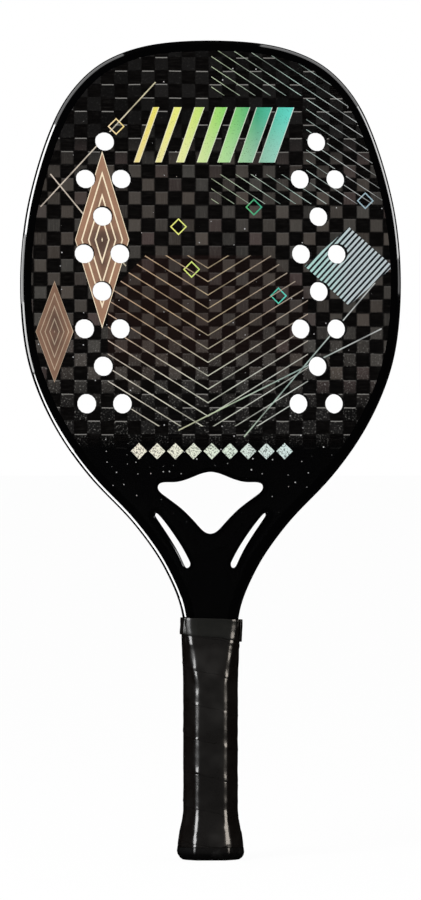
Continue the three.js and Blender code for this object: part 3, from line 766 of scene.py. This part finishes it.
def face_sheet(name, node, material):
    """A face whose holes are rounder than the solid's and whose glue lines to the tube are closed."""
    bm = merged_copy(node)
    bm.normal_update()
    round_edges, circles = [], []
    for loop in linked_loops([edge for edge in bm.edges if is_rim(edge)]):
        verts, middle, reach, is_round = circle_of(loop)
        if is_round:
            round_edges += loop
            circles.append((middle, reach))
            continue
        for vert, move in [(vert, wall_normal(vert) * GLUE_LINE) for vert in verts]:
            vert.co += move
    split = bmesh.ops.subdivide_edges(bm, edges=round_edges, cuts=1)
    for vert in {v for v in split["geom_inner"] if isinstance(v, bmesh.types.BMVert)}:
        middle, reach = min(circles, key=lambda circle: (circle[0] - vert.co).length)
        vert.co = middle + (vert.co - middle).normalized() * reach
    outer = (min if node == "front_face" else max)(vert.co.y for vert in bm.verts)
    outside = [face for face in bm.faces if abs(face.calc_center_median().y - outer) < MERGE_DISTANCE]
    bmesh.ops.delete(bm, geom=outside, context="FACES_ONLY")
    edges = [edge for edge in bm.edges if edge.is_boundary]
    hole_edges = [edge for loop in linked_loops(edges) if circle_of(loop)[-1] for edge in loop]
    bmesh.ops.triangle_fill(bm, edges=edges, use_beauty=True, use_dissolve=False)
    bmesh.ops.recalc_face_normals(bm, faces=bm.faces)
    bmesh.ops.bevel(
        bm, geom=hole_edges, offset=HOLE_EDGE, segments=HOLE_EDGE_STEPS, profile=0.5,
        affect="EDGES", material=-1,
    )
    piece = new_piece(name, bm, material, "carbon_weave", node)
    piece.modifiers.new("flat faces", "WEIGHTED_NORMAL")
    return piece


face_print, carbon_weave = print_group(), weave_group()
face_sheet("front_sheet", "front_face", face_material("carbon_weave_front"))
face_sheet("back_sheet", "back_face", face_material("carbon_weave_back"))


# Throat rims

# The three throat openings are edged with moulded rims, lacquered with the frame. They join the
# two faces and close the foam.
RIM_SUBDIVISIONS = 2
RIM_WIDTH = 0.0022
RIM_WALL_TOP = 0.0093
HEART_INSET = 0.00035
SLIT_HEAD = 0.209
SLIT_FOOT = 0.180
SLIT_INSETS = (0.00035, 0.0023)
SLIT_TIP = 0.0008
SLIT_CROWN = 0.0013
CROWN_SLOPE = 0.6


def share_between(value, low, high):
    """How far a value lies from one limit to another, from 0 to 1."""
    return min(max((value - low) / (high - low), 0), 1)


def heart_inset(_, facing):
    """How far the wall of the heart-shaped opening moves inwards: only where it faces down."""
    return HEART_INSET * max(0, -facing.z)


def slit_inset(spot, facing):
    """How far a slit's wall moves inwards: more beside the leg, more towards the head, and most at
    the upper end."""
    leg_side = max(0, -facing.x * math.copysign(1, spot.x))
    share = share_between(spot.z, SLIT_FOOT, SLIT_HEAD)
    tips = leg_side * max(0, -facing.z) - max(0, 1 - leg_side) * max(0, facing.z)
    crown = share * max(0, -facing.z - CROWN_SLOPE) / (1 - CROWN_SLOPE)
    beside = SLIT_INSETS[0] + (SLIT_INSETS[1] - SLIT_INSETS[0]) * share
    return leg_side * beside + SLIT_TIP * tips + SLIT_CROWN * crown


def seen_distance(first, second):
    """How far apart two points are, seen from the front."""
    return math.hypot(first.x - second.x, first.z - second.z)


def narrowed(bm, inset):
    """Moves the wall of an opening inwards, and the round above it by its share."""
    bm.normal_update()
    walls = []
    for vert in bm.verts:
        if abs(vert.co.y) < RIM_WALL_TOP:
            facing = wall_normal(vert)
            facing.y = 0
            walls.append((vert.co.copy(), facing.normalized()))
    for vert in bm.verts:
        spot, facing = min(walls, key=lambda wall: seen_distance(wall[0], vert.co))
        away = seen_distance(spot, vert.co)
        vert.co += facing * inset(spot, facing) * max(0, 1 - away / RIM_WIDTH)
    return bm


rims = {}
for node in ("heart_rim", "slot_rim_right", "slot_rim_left"):
    inset = heart_inset if node == "heart_rim" else slit_inset
    bm = creased(narrowed(merged_copy(node), inset))
    rims[node] = new_piece(f"{node}_smooth", bm, black_lacquer, "gloss_carbon", node)
    subdivide(rims[node], RIM_SUBDIVISIONS)


# Handle core

# A strip of foam fills the space between the legs, and two moulded shells of pale polyurethane
# foam clamp round them to give the handle its eight sides.
HANDLE_FOAM = (0.66, 0.57, 0.36, 1)
HANDLE_FOAM_OLD = (0.52, 0.41, 0.22, 1)
HANDLE_CELL = 0.0009

handle_foam = foam_material("handle_foam", HANDLE_FOAM, HANDLE_FOAM_OLD, HANDLE_CELL)
for node in ("shaft_filler", "handle_pallet_front", "handle_pallet_back"):
    dress(node, handle_foam)


# Butt cap

# A moulded black plastic cap that closes the flared end, with two holes for a wrist cord. Its
# sleeve slides over the foam shells, and two steel staples hold it there.
CAP_BLACK = (0.0016, 0.0014, 0.0015, 1)
CAP_SCUFF = (0.012, 0.012, 0.012, 1)
CAP_SCUFF_SIZE = 0.006
CAP_SCUFF_FADE = (0.5, 0.8)
CAP_SCUFF_SHARE = 0.2
CAP_ROUGHNESS = 0.26
CAP_SCUFF_ROUGHNESS = 0.12
CAP_TEXTURE = 0.0007
CAP_TEXTURE_HEIGHT = 0.00002
CAP_EDGE = 0.0003
CAP_EDGE_STEPS = 3
SHARP_ANGLE = math.radians(35)
STEEL = (0.55, 0.56, 0.58, 1)
STEEL_LINE = 0.0002
STEEL_LINE_HEIGHT = 0.00001
STEEL_STRETCH = (1, 0.05, 1)
STEEL_ROUGHNESS = 0.25
STEEL_LINE_ROUGHNESS = 0.2


def cap_material():
    """Black moulded plastic with a fine spark-eroded texture."""
    material, tree, shader, coordinates = new_material("black_cap_plastic")
    texture = grain(tree, coordinates, CAP_TEXTURE, 3.0)
    scuffs = worn_share(tree, coordinates, CAP_SCUFF_SIZE, CAP_SCUFF_FADE, 4.0)
    fill(
        tree,
        shader,
        Base_Color=blended(tree, product(tree, scuffs, CAP_SCUFF_SHARE), CAP_BLACK, CAP_SCUFF),
        Roughness=maths(tree, "MULTIPLY_ADD", scuffs, CAP_SCUFF_ROUGHNESS, CAP_ROUGHNESS),
        Specular_IOR_Level=0.3,
        Normal=relief(tree, texture, CAP_TEXTURE_HEIGHT),
    )
    return material


def steel_material():
    """Drawn steel wire with fine lines along it."""
    material, tree, shader, coordinates = new_material("staple_steel")
    stretched = place(tree, "ShaderNodeMapping", {"Vector": coordinates, "Scale": STEEL_STRETCH})
    lines = grain(tree, stretched.outputs[0], STEEL_LINE)
    fill(
        tree,
        shader,
        Base_Color=STEEL,
        Metallic=1.0,
        Roughness=maths(tree, "MULTIPLY_ADD", lines, STEEL_LINE_ROUGHNESS, STEEL_ROUGHNESS),
        Normal=relief(tree, lines, STEEL_LINE_HEIGHT),
    )
    return material


bm = merged_copy("butt_cap")
sharp = [edge for edge in bm.edges if edge.calc_face_angle(0) > SHARP_ANGLE]
bmesh.ops.bevel(
    bm, geom=sharp, offset=CAP_EDGE, segments=CAP_EDGE_STEPS, profile=0.5, affect="EDGES",
    material=-1, clamp_overlap=True,
)
cap = new_piece("butt_end_cap", bm, cap_material(), "cap_plastic", "butt_cap")
cap.modifiers.new("flat faces", "WEIGHTED_NORMAL")
steel = steel_material()
for node in ("cap_staple_right", "cap_staple_left"):
    dress(node, steel)


# Grip wrap

# One band of black polyurethane film on felt, wound up the handle from the cap to the neck. Each
# turn laps the one below it, and the film puckers where a seam crosses an edge of the handle.
GRIP_WIDTH = 0.0332
GRIP_DEPTH = 0.0286
GRIP_CUT = 0.00775
GRIP_CORNER = 0.005
NECK_CORNER = 0.0062
NECK_HALF_WIDTH = 0.0162
NECK_HALF_DEPTH = 0.011
NECK_EDGE = 0.005
NECK_FOOT = 0.142
SHAFT_TOP = 0.108
FLARE_HEIGHT = 0.033
FLARE_REACH = 0.0037
FLARE_EASE = (0.07, 0.89)
FLARE_CORNER = 0.004
BUTT_RADIUS = 0.005
BEVEL_SHARE = 2 - math.sqrt(2)
WRAP_COVER = 0.0016
WRAP_LOW = 0.00805
WRAP_HIGH = 0.146
WRAP_PITCH = 0.0211
WRAP_PHASE = 0.007
WRAP_LAP = 0.0003
WRAP_LEAST = 0.0001
WRAP_TAPER = 0.5
WRAP_THICKNESS = 0.0012
WRAP_EDGE = 0.0004
WRAP_ROUND = 0.00006
WRAP_TILT = 0.00006
CORNER_STEPS = 6
SIDE_STEPS = 7
WRAP_COLUMNS = 26
RIPPLE_DEPTH = 0.0003
PUCKER_DEPTH = 0.0006
PUCKER_REACH = 0.0020
WRINKLE_DEPTH = 0.0007
WRINKLE_HEIGHT = 0.019
WRINKLE_REACH = 0.007
CREASE_HEIGHT = 0.1320
CREASE_REACH = 0.0026
CREASE_DEPTH = 0.00045
WRAP_SOFTNESS = 0.00008
WRAP_ROOM = 0.00015
WRAP_BLACK = (0.0044, 0.0038, 0.0035, 1)
WRAP_GREY = (0.0066, 0.0058, 0.0053, 1)
WRAP_ROUGHNESS = 0.27
WRAP_COAT = 0.45
FILM_PORE = 0.0009
FILM_CREASE = 0.0035
FILM_CREASE_STRETCH = (1, 1, 0.35)
FILM_CREASE_WEIGHT = 3.0
FILM_RELIEF = 0.000012
FILM_PATCH = 0.018
FILM_RUB_FADE = (0.4, 0.7)
FILM_RUB_ROUGHNESS = 0.08
FILM_ASLANT_RAMP = (0.12, 0.30)
# Painted shade: the film's colour turns darker and warmer where it is seen aslant.
FILM_ASLANT_SHADE_COLOUR = (0.0026, 0.0013, 0.0008, 1)
FILM_ASLANT_SHADE_SHARE = 0.65
FILM_ASLANT_ROUGHNESS = -0.1
HANDLE_SIDES = 8

# Each noise: how often it changes in a turn and in a metre upwards, and which layer of it is used.
# The wrinkles' noise is slanted, because they lie aslant.
PUCKER_NOISE = (16, 420, 2.7)
SOFT_NOISE = (7, 90, 0.4)
RIPPLE_NOISE = (3, 170, 6.1)
WRINKLE_NOISE = (30, 260, 3.3)
WRINKLE_SLANT = 500


def softened(share):
    """A share that starts and ends softly."""
    return share * share * (3 - 2 * share)


def hump(value, middle, reach):
    """1 in the middle, with soft sides about as wide as the reach."""
    return math.exp(-((value - middle) / reach) ** 2)


def lumps(turned, height, rates, slant=0):
    """Noise from -1 to 1, laid round the handle and up it."""
    around, upwards, layer = rates
    return noise.noise(Vector((turned * around + height * slant, height * upwards, layer)))


def flare_share(height):
    """How far the handle has flared at a height: slowly at first, and like the cap at its foot."""
    share = share_between(height, FLARE_HEIGHT, BUTT_RADIUS)
    first, last = FLARE_EASE
    if share > last:
        return share
    return last * softened(share_between(share, first, last))


def handle_size(height):
    """Half width, half depth, corner cut and corner radius of the wrapped handle at a height."""
    blend = share_between(height, SHAFT_TOP, NECK_FOOT)
    flare = FLARE_REACH * flare_share(height)
    across = GRIP_WIDTH / 2 + (NECK_HALF_WIDTH + WRAP_COVER - GRIP_WIDTH / 2) * blend + flare
    through = GRIP_DEPTH / 2 + (NECK_HALF_DEPTH + WRAP_COVER - GRIP_DEPTH / 2) * blend + flare
    cut = GRIP_CUT + (BEVEL_SHARE * (NECK_EDGE + WRAP_COVER) - GRIP_CUT) * blend + flare / 2
    return across, through, cut, GRIP_CORNER + (NECK_CORNER - GRIP_CORNER) * blend


def handle_ring(height, outwards):
    """Points round the handle at a height, with rounded corners, moved outwards by a distance."""
    across, through, cut, radius = handle_size(height)
    across, through, cut = across + outwards, through + outwards, cut + BEVEL_SHARE * outwards
    corners = [
        Vector((x, y, height)) for x, y in (
            (across - cut, -through), (across, cut - through), (across, through - cut),
            (across - cut, through), (cut - across, through), (-across, through - cut),
            (-across, cut - through), (cut - across, -through),
        )
    ]
    radii = [radius + outwards] * HANDLE_SIDES
    radii[0] += FLARE_CORNER * flare_share(height)
    trims = [rounding * math.tan(math.pi / HANDLE_SIDES) for rounding in radii]
    ring = []
    for i, corner in enumerate(corners):
        following, trim = corners[(i + 1) % HANDLE_SIDES], trims[i]
        start = corner + (corners[i - 1] - corner).normalized() * trim
        end = corner + (following - corner).normalized() * trim
        for step in range(CORNER_STEPS):
            share = step / CORNER_STEPS
            ring.append(start.lerp(corner, share).lerp(corner.lerp(end, share), share))
        next_trim = trims[(i + 1) % HANDLE_SIDES]
        side_end = following + (corner - following).normalized() * next_trim
        for step in range(SIDE_STEPS):
            ring.append(end.lerp(side_end, step / SIDE_STEPS))
    return ring


STEPS_A_SIDE = CORNER_STEPS + SIDE_STEPS
RING_SIZE = HANDLE_SIDES * STEPS_A_SIDE


def turn_shares():
    """How far round the handle each point of a ring lies, as a share from the middle of the front."""
    ring = handle_ring(SHAFT_TOP, 0)
    lengths = [abs(ring[0].x)]
    for before, after in zip(ring, ring[1:]):
        lengths.append(lengths[-1] + (after - before).length)
    whole = lengths[-1] + (ring[0] - ring[-1]).length
    return [length / whole for length in lengths]


def winding(start, end):
    """Turns and ring indices in the order of winding, which climbs clockwise seen from above."""
    shares, places = turn_shares(), []
    for turn in range(math.floor(start) - 1, math.ceil(end) + 1):
        for i in reversed(range(RING_SIZE)):
            turned = turn + 1 - shares[i]
            if start <= turned <= end:
                places.append((turned, i))
    return places


def wound_band(places, columns, shape):
    """A strip laid along the winding, with its columns closer towards its edges."""
    bm = bmesh.new()
    bmesh.ops.create_grid(bm, x_segments=len(places) - 1, y_segments=columns - 1, size=0.5)
    for vert in bm.verts:
        row = round((vert.co.x + 0.5) * (len(places) - 1))
        share = 0.5 - 0.5 * math.cos(math.pi * (vert.co.y + 0.5))
        turned, index = places[row]
        height, outwards = shape(turned, share, index)
        vert.co = handle_ring(height, outwards)[index]
    bmesh.ops.recalc_face_normals(bm, faces=bm.faces)
    middle = bm.faces[len(bm.faces) // 2]
    if middle.normal.dot(Vector((*middle.calc_center_median().xy, 0))) < 0:
        bmesh.ops.reverse_faces(bm, faces=bm.faces)
    return bm


def thicken(band, thickness, side):
    """Gives a band its thickness: outwards from its surface for a side of 1, inwards for -1."""
    modifier = band.modifiers.new("thickness", "SOLIDIFY")
    modifier.thickness = thickness
    modifier.offset = side


def wrap_shape(turned, share, index):
    """Height and outward distance of a point of the wrap."""
    low = WRAP_PHASE + WRAP_PITCH * turned
    high = min(low + WRAP_PITCH + WRAP_LAP, WRAP_HIGH)
    low = max(low, WRAP_LOW)
    high = max(high, low + WRAP_LEAST)
    height = low + (high - low) * share
    from_edge = min(height - low, high - height)
    rounding = 1 - math.sqrt(max(0, 1 - (1 - min(from_edge / WRAP_EDGE, 1)) ** 2))
    tilt = WRAP_TILT * (0.5 - share) * 2
    near_corner = 1 - min(abs(index % STEPS_A_SIDE - CORNER_STEPS / 2) / CORNER_STEPS, 1)
    near_seam = PUCKER_DEPTH * hump(height, low, PUCKER_REACH)
    near_tape = CREASE_DEPTH * hump(height, CREASE_HEIGHT, CREASE_REACH)
    near_cap = WRINKLE_DEPTH * hump(height, WRINKLE_HEIGHT, WRINKLE_REACH)
    folds = (near_seam + near_tape) * lumps(turned, height, PUCKER_NOISE)
    folds += RIPPLE_DEPTH * lumps(turned, height, RIPPLE_NOISE)
    folds += near_cap * min(lumps(turned, height, WRINKLE_NOISE, WRINKLE_SLANT), 0)
    soft = WRAP_SOFTNESS * lumps(turned, height, SOFT_NOISE)
    outwards = tilt - WRAP_TILT - rounding * WRAP_ROUND + near_corner * folds + soft
    return height, min(outwards, WRAP_ROOM)


def grip_material(name, dark, pale, roughness, coat):
    """Soft black polyurethane with a fine pore texture and glossy, slightly creased film. Its colour
    is painted darker and warmer where it is seen aslant: painted shade on the handle's slanted sides."""
    material, tree, shader, coordinates = new_material(name)
    inputs = {"Vector": coordinates, "Scale": FILM_CREASE_STRETCH}
    stretched = place(tree, "ShaderNodeMapping", inputs)
    creases = grain(tree, stretched.outputs[0], FILM_CREASE, 3.0)
    pores = grain(tree, coordinates, FILM_PORE)
    rubbed = worn_share(tree, coordinates, FILM_PATCH, FILM_RUB_FADE)
    facing = place(tree, "ShaderNodeLayerWeight", {"Blend": 0.5}).outputs["Facing"]
    aslant = eased(tree, facing, *FILM_ASLANT_RAMP)
    # Painted shade where the film is seen aslant.
    aslant_shade = product(tree, aslant, FILM_ASLANT_SHADE_SHARE)
    rough = maths(tree, "MULTIPLY_ADD", rubbed, FILM_RUB_ROUGHNESS, roughness)
    height = maths(tree, "MULTIPLY_ADD", creases, FILM_CREASE_WEIGHT, pores)
    fill(
        tree,
        shader,
        Base_Color=blended(tree, aslant_shade, blended(tree, rubbed, dark, pale), FILM_ASLANT_SHADE_COLOUR),
        Roughness=maths(tree, "MULTIPLY_ADD", aslant, FILM_ASLANT_ROUGHNESS, rough),
        Specular_IOR_Level=0.24,
        Coat_Weight=coat,
        Coat_Roughness=0.13,
        Normal=relief(tree, height, FILM_RELIEF),
    )
    return material


lap_start = (WRAP_LOW - WRAP_PITCH - WRAP_PHASE) / WRAP_PITCH - WRAP_TAPER
lap_end = (WRAP_HIGH - WRAP_LEAST - WRAP_PHASE) / WRAP_PITCH
wrap = new_piece(
    "grip_band",
    wound_band(winding(lap_start, lap_end), WRAP_COLUMNS, wrap_shape),
    grip_material("grip_film", WRAP_BLACK, WRAP_GREY, WRAP_ROUGHNESS, WRAP_COAT),
    "grip_skin",
    "grip_wrap",
)
thicken(wrap, WRAP_THICKNESS, -1)


# Finishing tape

# A strip of thin vinyl tape that holds the top of the wrap. It goes round the neck a little more
# than once, slightly aslant, and its free end stands off at the right front corner.
TAPE_LOW = 0.1353
TAPE_HIGH = 0.1471
TAPE_SLANTS = (0.0024, 0.0007)
TAPE_THICKNESS = 0.0002
TAPE_FIT = 0.00025
TAPE_TURNS = 1.29
TAPE_START = 0.55
TAPE_LIFT = 0.85
TAPE_LAP = 0.0008
TAPE_COLUMNS = 20
TAPE_WAVE = 0.0005
TAPE_END_LIFT = 0.0007
TAPE_END_REACH = 0.09
TAPE_SIDE_BULGE = 0.0008
TAPE_LEFT = 1.255
TAPE_LEFT_REACH = 0.04
TAPE_FLAT = 1.12
TAPE_FLAT_REACH = 0.07
TAPE_PRESS = 0.00010
TAPE_PRESS_REACH = 0.0012
TAPE_BULGE = 0.0007
TAPE_RIPPLE = 0.00010
TAPE_LOWER_SHARE = 0.4
TAPE_BLACK = (0.0078, 0.0080, 0.0070, 1)
TAPE_GREY = (0.0105, 0.0107, 0.0095, 1)
TAPE_ROUGHNESS = 0.26
TAPE_COAT = 0.22

# As for the wrap, but the second number is for the width of the tape.
TAPE_WAVE_NOISE = (7, 1, 5.1)
TAPE_BULGE_NOISE = (6, 1.5, 8.2)
TAPE_RIPPLE_NOISE = (22, 4, 1.3)


def tape_shape(turned, share, index):
    """Height and outward distance of a point of the tape."""
    rightwards = -math.sin(2 * math.pi * turned)
    low, high = TAPE_LOW - TAPE_SLANTS[0] * rightwards, TAPE_HIGH - TAPE_SLANTS[1] * rightwards
    looseness = TAPE_LOWER_SHARE + (1 - TAPE_LOWER_SHARE) * share
    wave = TAPE_WAVE * looseness * lumps(turned, share, TAPE_WAVE_NOISE)
    lap = share_between(turned - TAPE_START, TAPE_LIFT, 1)
    from_edge = min(share, 1 - share) * (TAPE_HIGH - TAPE_LOW)
    pressed = TAPE_PRESS * (1 - lap) * (1 - min(from_edge / TAPE_PRESS_REACH, 1)) ** 2
    bulge = TAPE_BULGE * max(0, lumps(turned, share, TAPE_BULGE_NOISE))
    bulge += TAPE_RIPPLE * lumps(turned, share, TAPE_RIPPLE_NOISE)
    bulge *= 1 - hump(turned, TAPE_FLAT, TAPE_FLAT_REACH)
    bulge += TAPE_SIDE_BULGE * (1 - share) * hump(turned, TAPE_LEFT, TAPE_LEFT_REACH)
    to_end = max(0, 1 - (TAPE_START + TAPE_TURNS - turned) / TAPE_END_REACH)
    bulge += TAPE_END_LIFT * to_end ** 2 * looseness
    outwards = TAPE_FIT + TAPE_LAP * softened(lap) - pressed + bulge
    return low + (high - low) * share + wave, outwards


tape = new_piece(
    "top_tape",
    wound_band(winding(TAPE_START, TAPE_START + TAPE_TURNS), TAPE_COLUMNS, tape_shape),
    grip_material("vinyl_tape", TAPE_BLACK, TAPE_GREY, TAPE_ROUGHNESS, TAPE_COAT),
    "grip_tape",
    "finishing_tape",
)
thicken(tape, TAPE_THICKNESS, 1)


# Floor, light and camera

# A white floor that the racket stands on, a soft key lamp, and a camera in front, a little to the
# left. The backdrop is white to the camera. Gloss sees it dimmed, as between black studio cards,
# and rim lamps round the racket draw the bright lines along its edges and tone its flanks.
FLOOR_SIZE = 60
FLOOR_WHITE = (0.95, 0.95, 0.95, 1)
FLOOR_IN_REFLECTIONS = (0.012, 0.012, 0.012, 1)
FLOOR_GLOW = 0.94
BACKDROP_IN_GLOSS = 0.012
AMBIENT = 0.75
CAMERA_DISTANCE = 4.0
CAMERA_AZIMUTH = math.radians(-2.5)
PHOTO_HEIGHT = 900
PHOTO_TOP_TO_BUTT = 818.5
SENSOR = 36
KEY_LAMP = ((-1.3, -1.7, 1.7), (0, 0, 0.25), 1.0, 1.0, 10)
WARM_LIGHT = (1.0, 0.91, 0.81)
racket_height = (cad_box[1] - cad_box[0]).z
racket_middle = Vector((0, 0, racket_height / 2))


def floor_material():
    """White to the camera, but for the share of its own light that shows the shadow. In reflections its
    colour is painted near black.
    """
    material, tree, shader, _ = new_material("white_floor")
    path = place(tree, "ShaderNodeLightPath")
    # Painted reflection: glossy rays see the floor near black, as they would a black studio card.
    tone = blended(tree, path.outputs["Is Glossy Ray"], FLOOR_WHITE, FLOOR_IN_REFLECTIONS)
    fill(tree, shader, Base_Color=tone, Roughness=0.9, Specular_IOR_Level=0.0)
    glow = place(tree, "ShaderNodeEmission", {"Color": (1, 1, 1, 1), "Strength": 1.0})
    seen = product(tree, path.outputs["Is Camera Ray"], FLOOR_GLOW)
    inputs = {0: seen, 1: shader.outputs[0], 2: glow.outputs[0]}
    mixed = place(tree, "ShaderNodeMixShader", inputs)
    tree.links.new(mixed.outputs[0], tree.nodes["Material Output"].inputs["Surface"])
    return material


bm = bmesh.new()
bmesh.ops.create_grid(bm, x_segments=1, y_segments=1, size=FLOOR_SIZE)
floor = mesh_object("floor", bm, floor_material())


def softbox(name, position, target, width, height, radiance):
    """A rectangular lamp that points at a target."""
    lamp = bpy.data.lights.new(name, "AREA")
    lamp.shape = "RECTANGLE"
    lamp.size = width
    lamp.size_y = height
    lamp.energy = radiance * math.pi * width * height
    made = bpy.data.objects.new(name, lamp)
    made.location = position
    made.rotation_euler = (Vector(target) - Vector(position)).to_track_quat("-Z", "Y").to_euler()
    made.visible_camera = False
    scene.collection.objects.link(made)
    return made


key = softbox("key", *KEY_LAMP)
key.visible_glossy = False

# Each rim lamp shows only as a reflection, in the pieces it is turned to. A row holds its name,
# those pieces, its position, its target, its width, its height and its radiance.
left_slit, right_slit, grip = [rims["slot_rim_left"]], [rims["slot_rim_right"]], [wrap, tape, cap]
for name, pieces, *shape in (
    ("left_wall", [tube], (-1.1, 0, 0.74), (0, 0, 0.74), 0.62, 0.42, 22),
    ("left_low", [tube], (-1.1, 0, 0.16), (0, 0, 0.16), 0.62, 0.32, 13),
    ("left_floor_far", [tube], (-0.735, 0.02, 0.004), (-0.735, 0.02, 1), 0.63, 0.32, 22),
    ("left_floor_near", [tube], (-0.285, 0.015, 0.004), (-0.285, 0.015, 1), 0.27, 0.20, 22),
    ("left_flank", [tube], (-1.1, 0.5, 0.425), (0, 0.5, 0.425), 1.4, 0.21, 5.5),
    ("right_wall", [tube], (1.1, 0, 0.76), (0, 0, 0.76), 0.55, 0.62, 11),
    ("right_flank", [tube], (1.1, 0, 0.40), (0, 0, 0.40), 0.55, 0.10, 2.2),
    ("upper_left", [tube], (-1.118, 0.1, 1.673), (-0.048, 0.1, 0.483), 1.4, 1.40, 2.8),
    ("upper_right", [tube], (0.97, 0.1, 1.786), (0.075, 0.1, 0.46), 1.4, 1.52, 2.8),
    ("slit_line", left_slit, (1.1, -0.5, 0.74), (0, 0, 0.2), 0.6, 0.12, 15),
    ("slit_tip_left", left_slit, (0.13, -0.16, 0.004), (-0.036, 0, 0.21), 0.06, 0.06, 19),
    ("slit_tip_right", right_slit, (-0.13, -0.16, 0.004), (0.036, 0, 0.21), 0.06, 0.06, 19),
    ("grip_left", grip, (-1.06, -1.06, 0.52), (0, 0, 0.2), 1.0, 0.8, 18),
    ("grip_right", grip, (1.06, -1.06, 0.52), (0, 0, 0.2), 1.0, 0.8, 13),
):
    lamp = softbox(name, *shape)
    lamp.visible_diffuse = False
    lit = bpy.data.collections.new(name)
    for piece in pieces:
        lit.objects.link(piece)
    lamp.light_linking.receiver_collection = lit
bpy.data.lights["grip_right"].color = WARM_LIGHT

world = bpy.data.worlds.new("studio")
scene.world = world
world.use_nodes = True
tree = world.node_tree
tree.nodes.clear()
path = place(tree, "ShaderNodeLightPath").outputs
strength = any_of(tree, [
    path["Is Camera Ray"],
    path["Is Transmission Ray"],
    product(tree, path["Is Diffuse Ray"], AMBIENT),
    product(tree, path["Is Glossy Ray"], BACKDROP_IN_GLOSS),
])
background = place(tree, "ShaderNodeBackground", {"Color": (1, 1, 1, 1), "Strength": strength})
place(tree, "ShaderNodeOutputWorld", {"Surface": background.outputs[0]})

camera_data = bpy.data.cameras.new("camera")
camera = bpy.data.objects.new("camera", camera_data)
scene.collection.objects.link(camera)
scene.camera = camera
camera_data.sensor_width = SENSOR
camera_data.lens = SENSOR * CAMERA_DISTANCE / racket_height * PHOTO_TOP_TO_BUTT / PHOTO_HEIGHT
back = Vector((math.sin(CAMERA_AZIMUTH), -math.cos(CAMERA_AZIMUTH), 0))
camera.location = racket_middle + back * CAMERA_DISTANCE
camera.rotation_euler = (-back).to_track_quat("-Z", "Y").to_euler()

scene.view_settings.view_transform = "Standard"
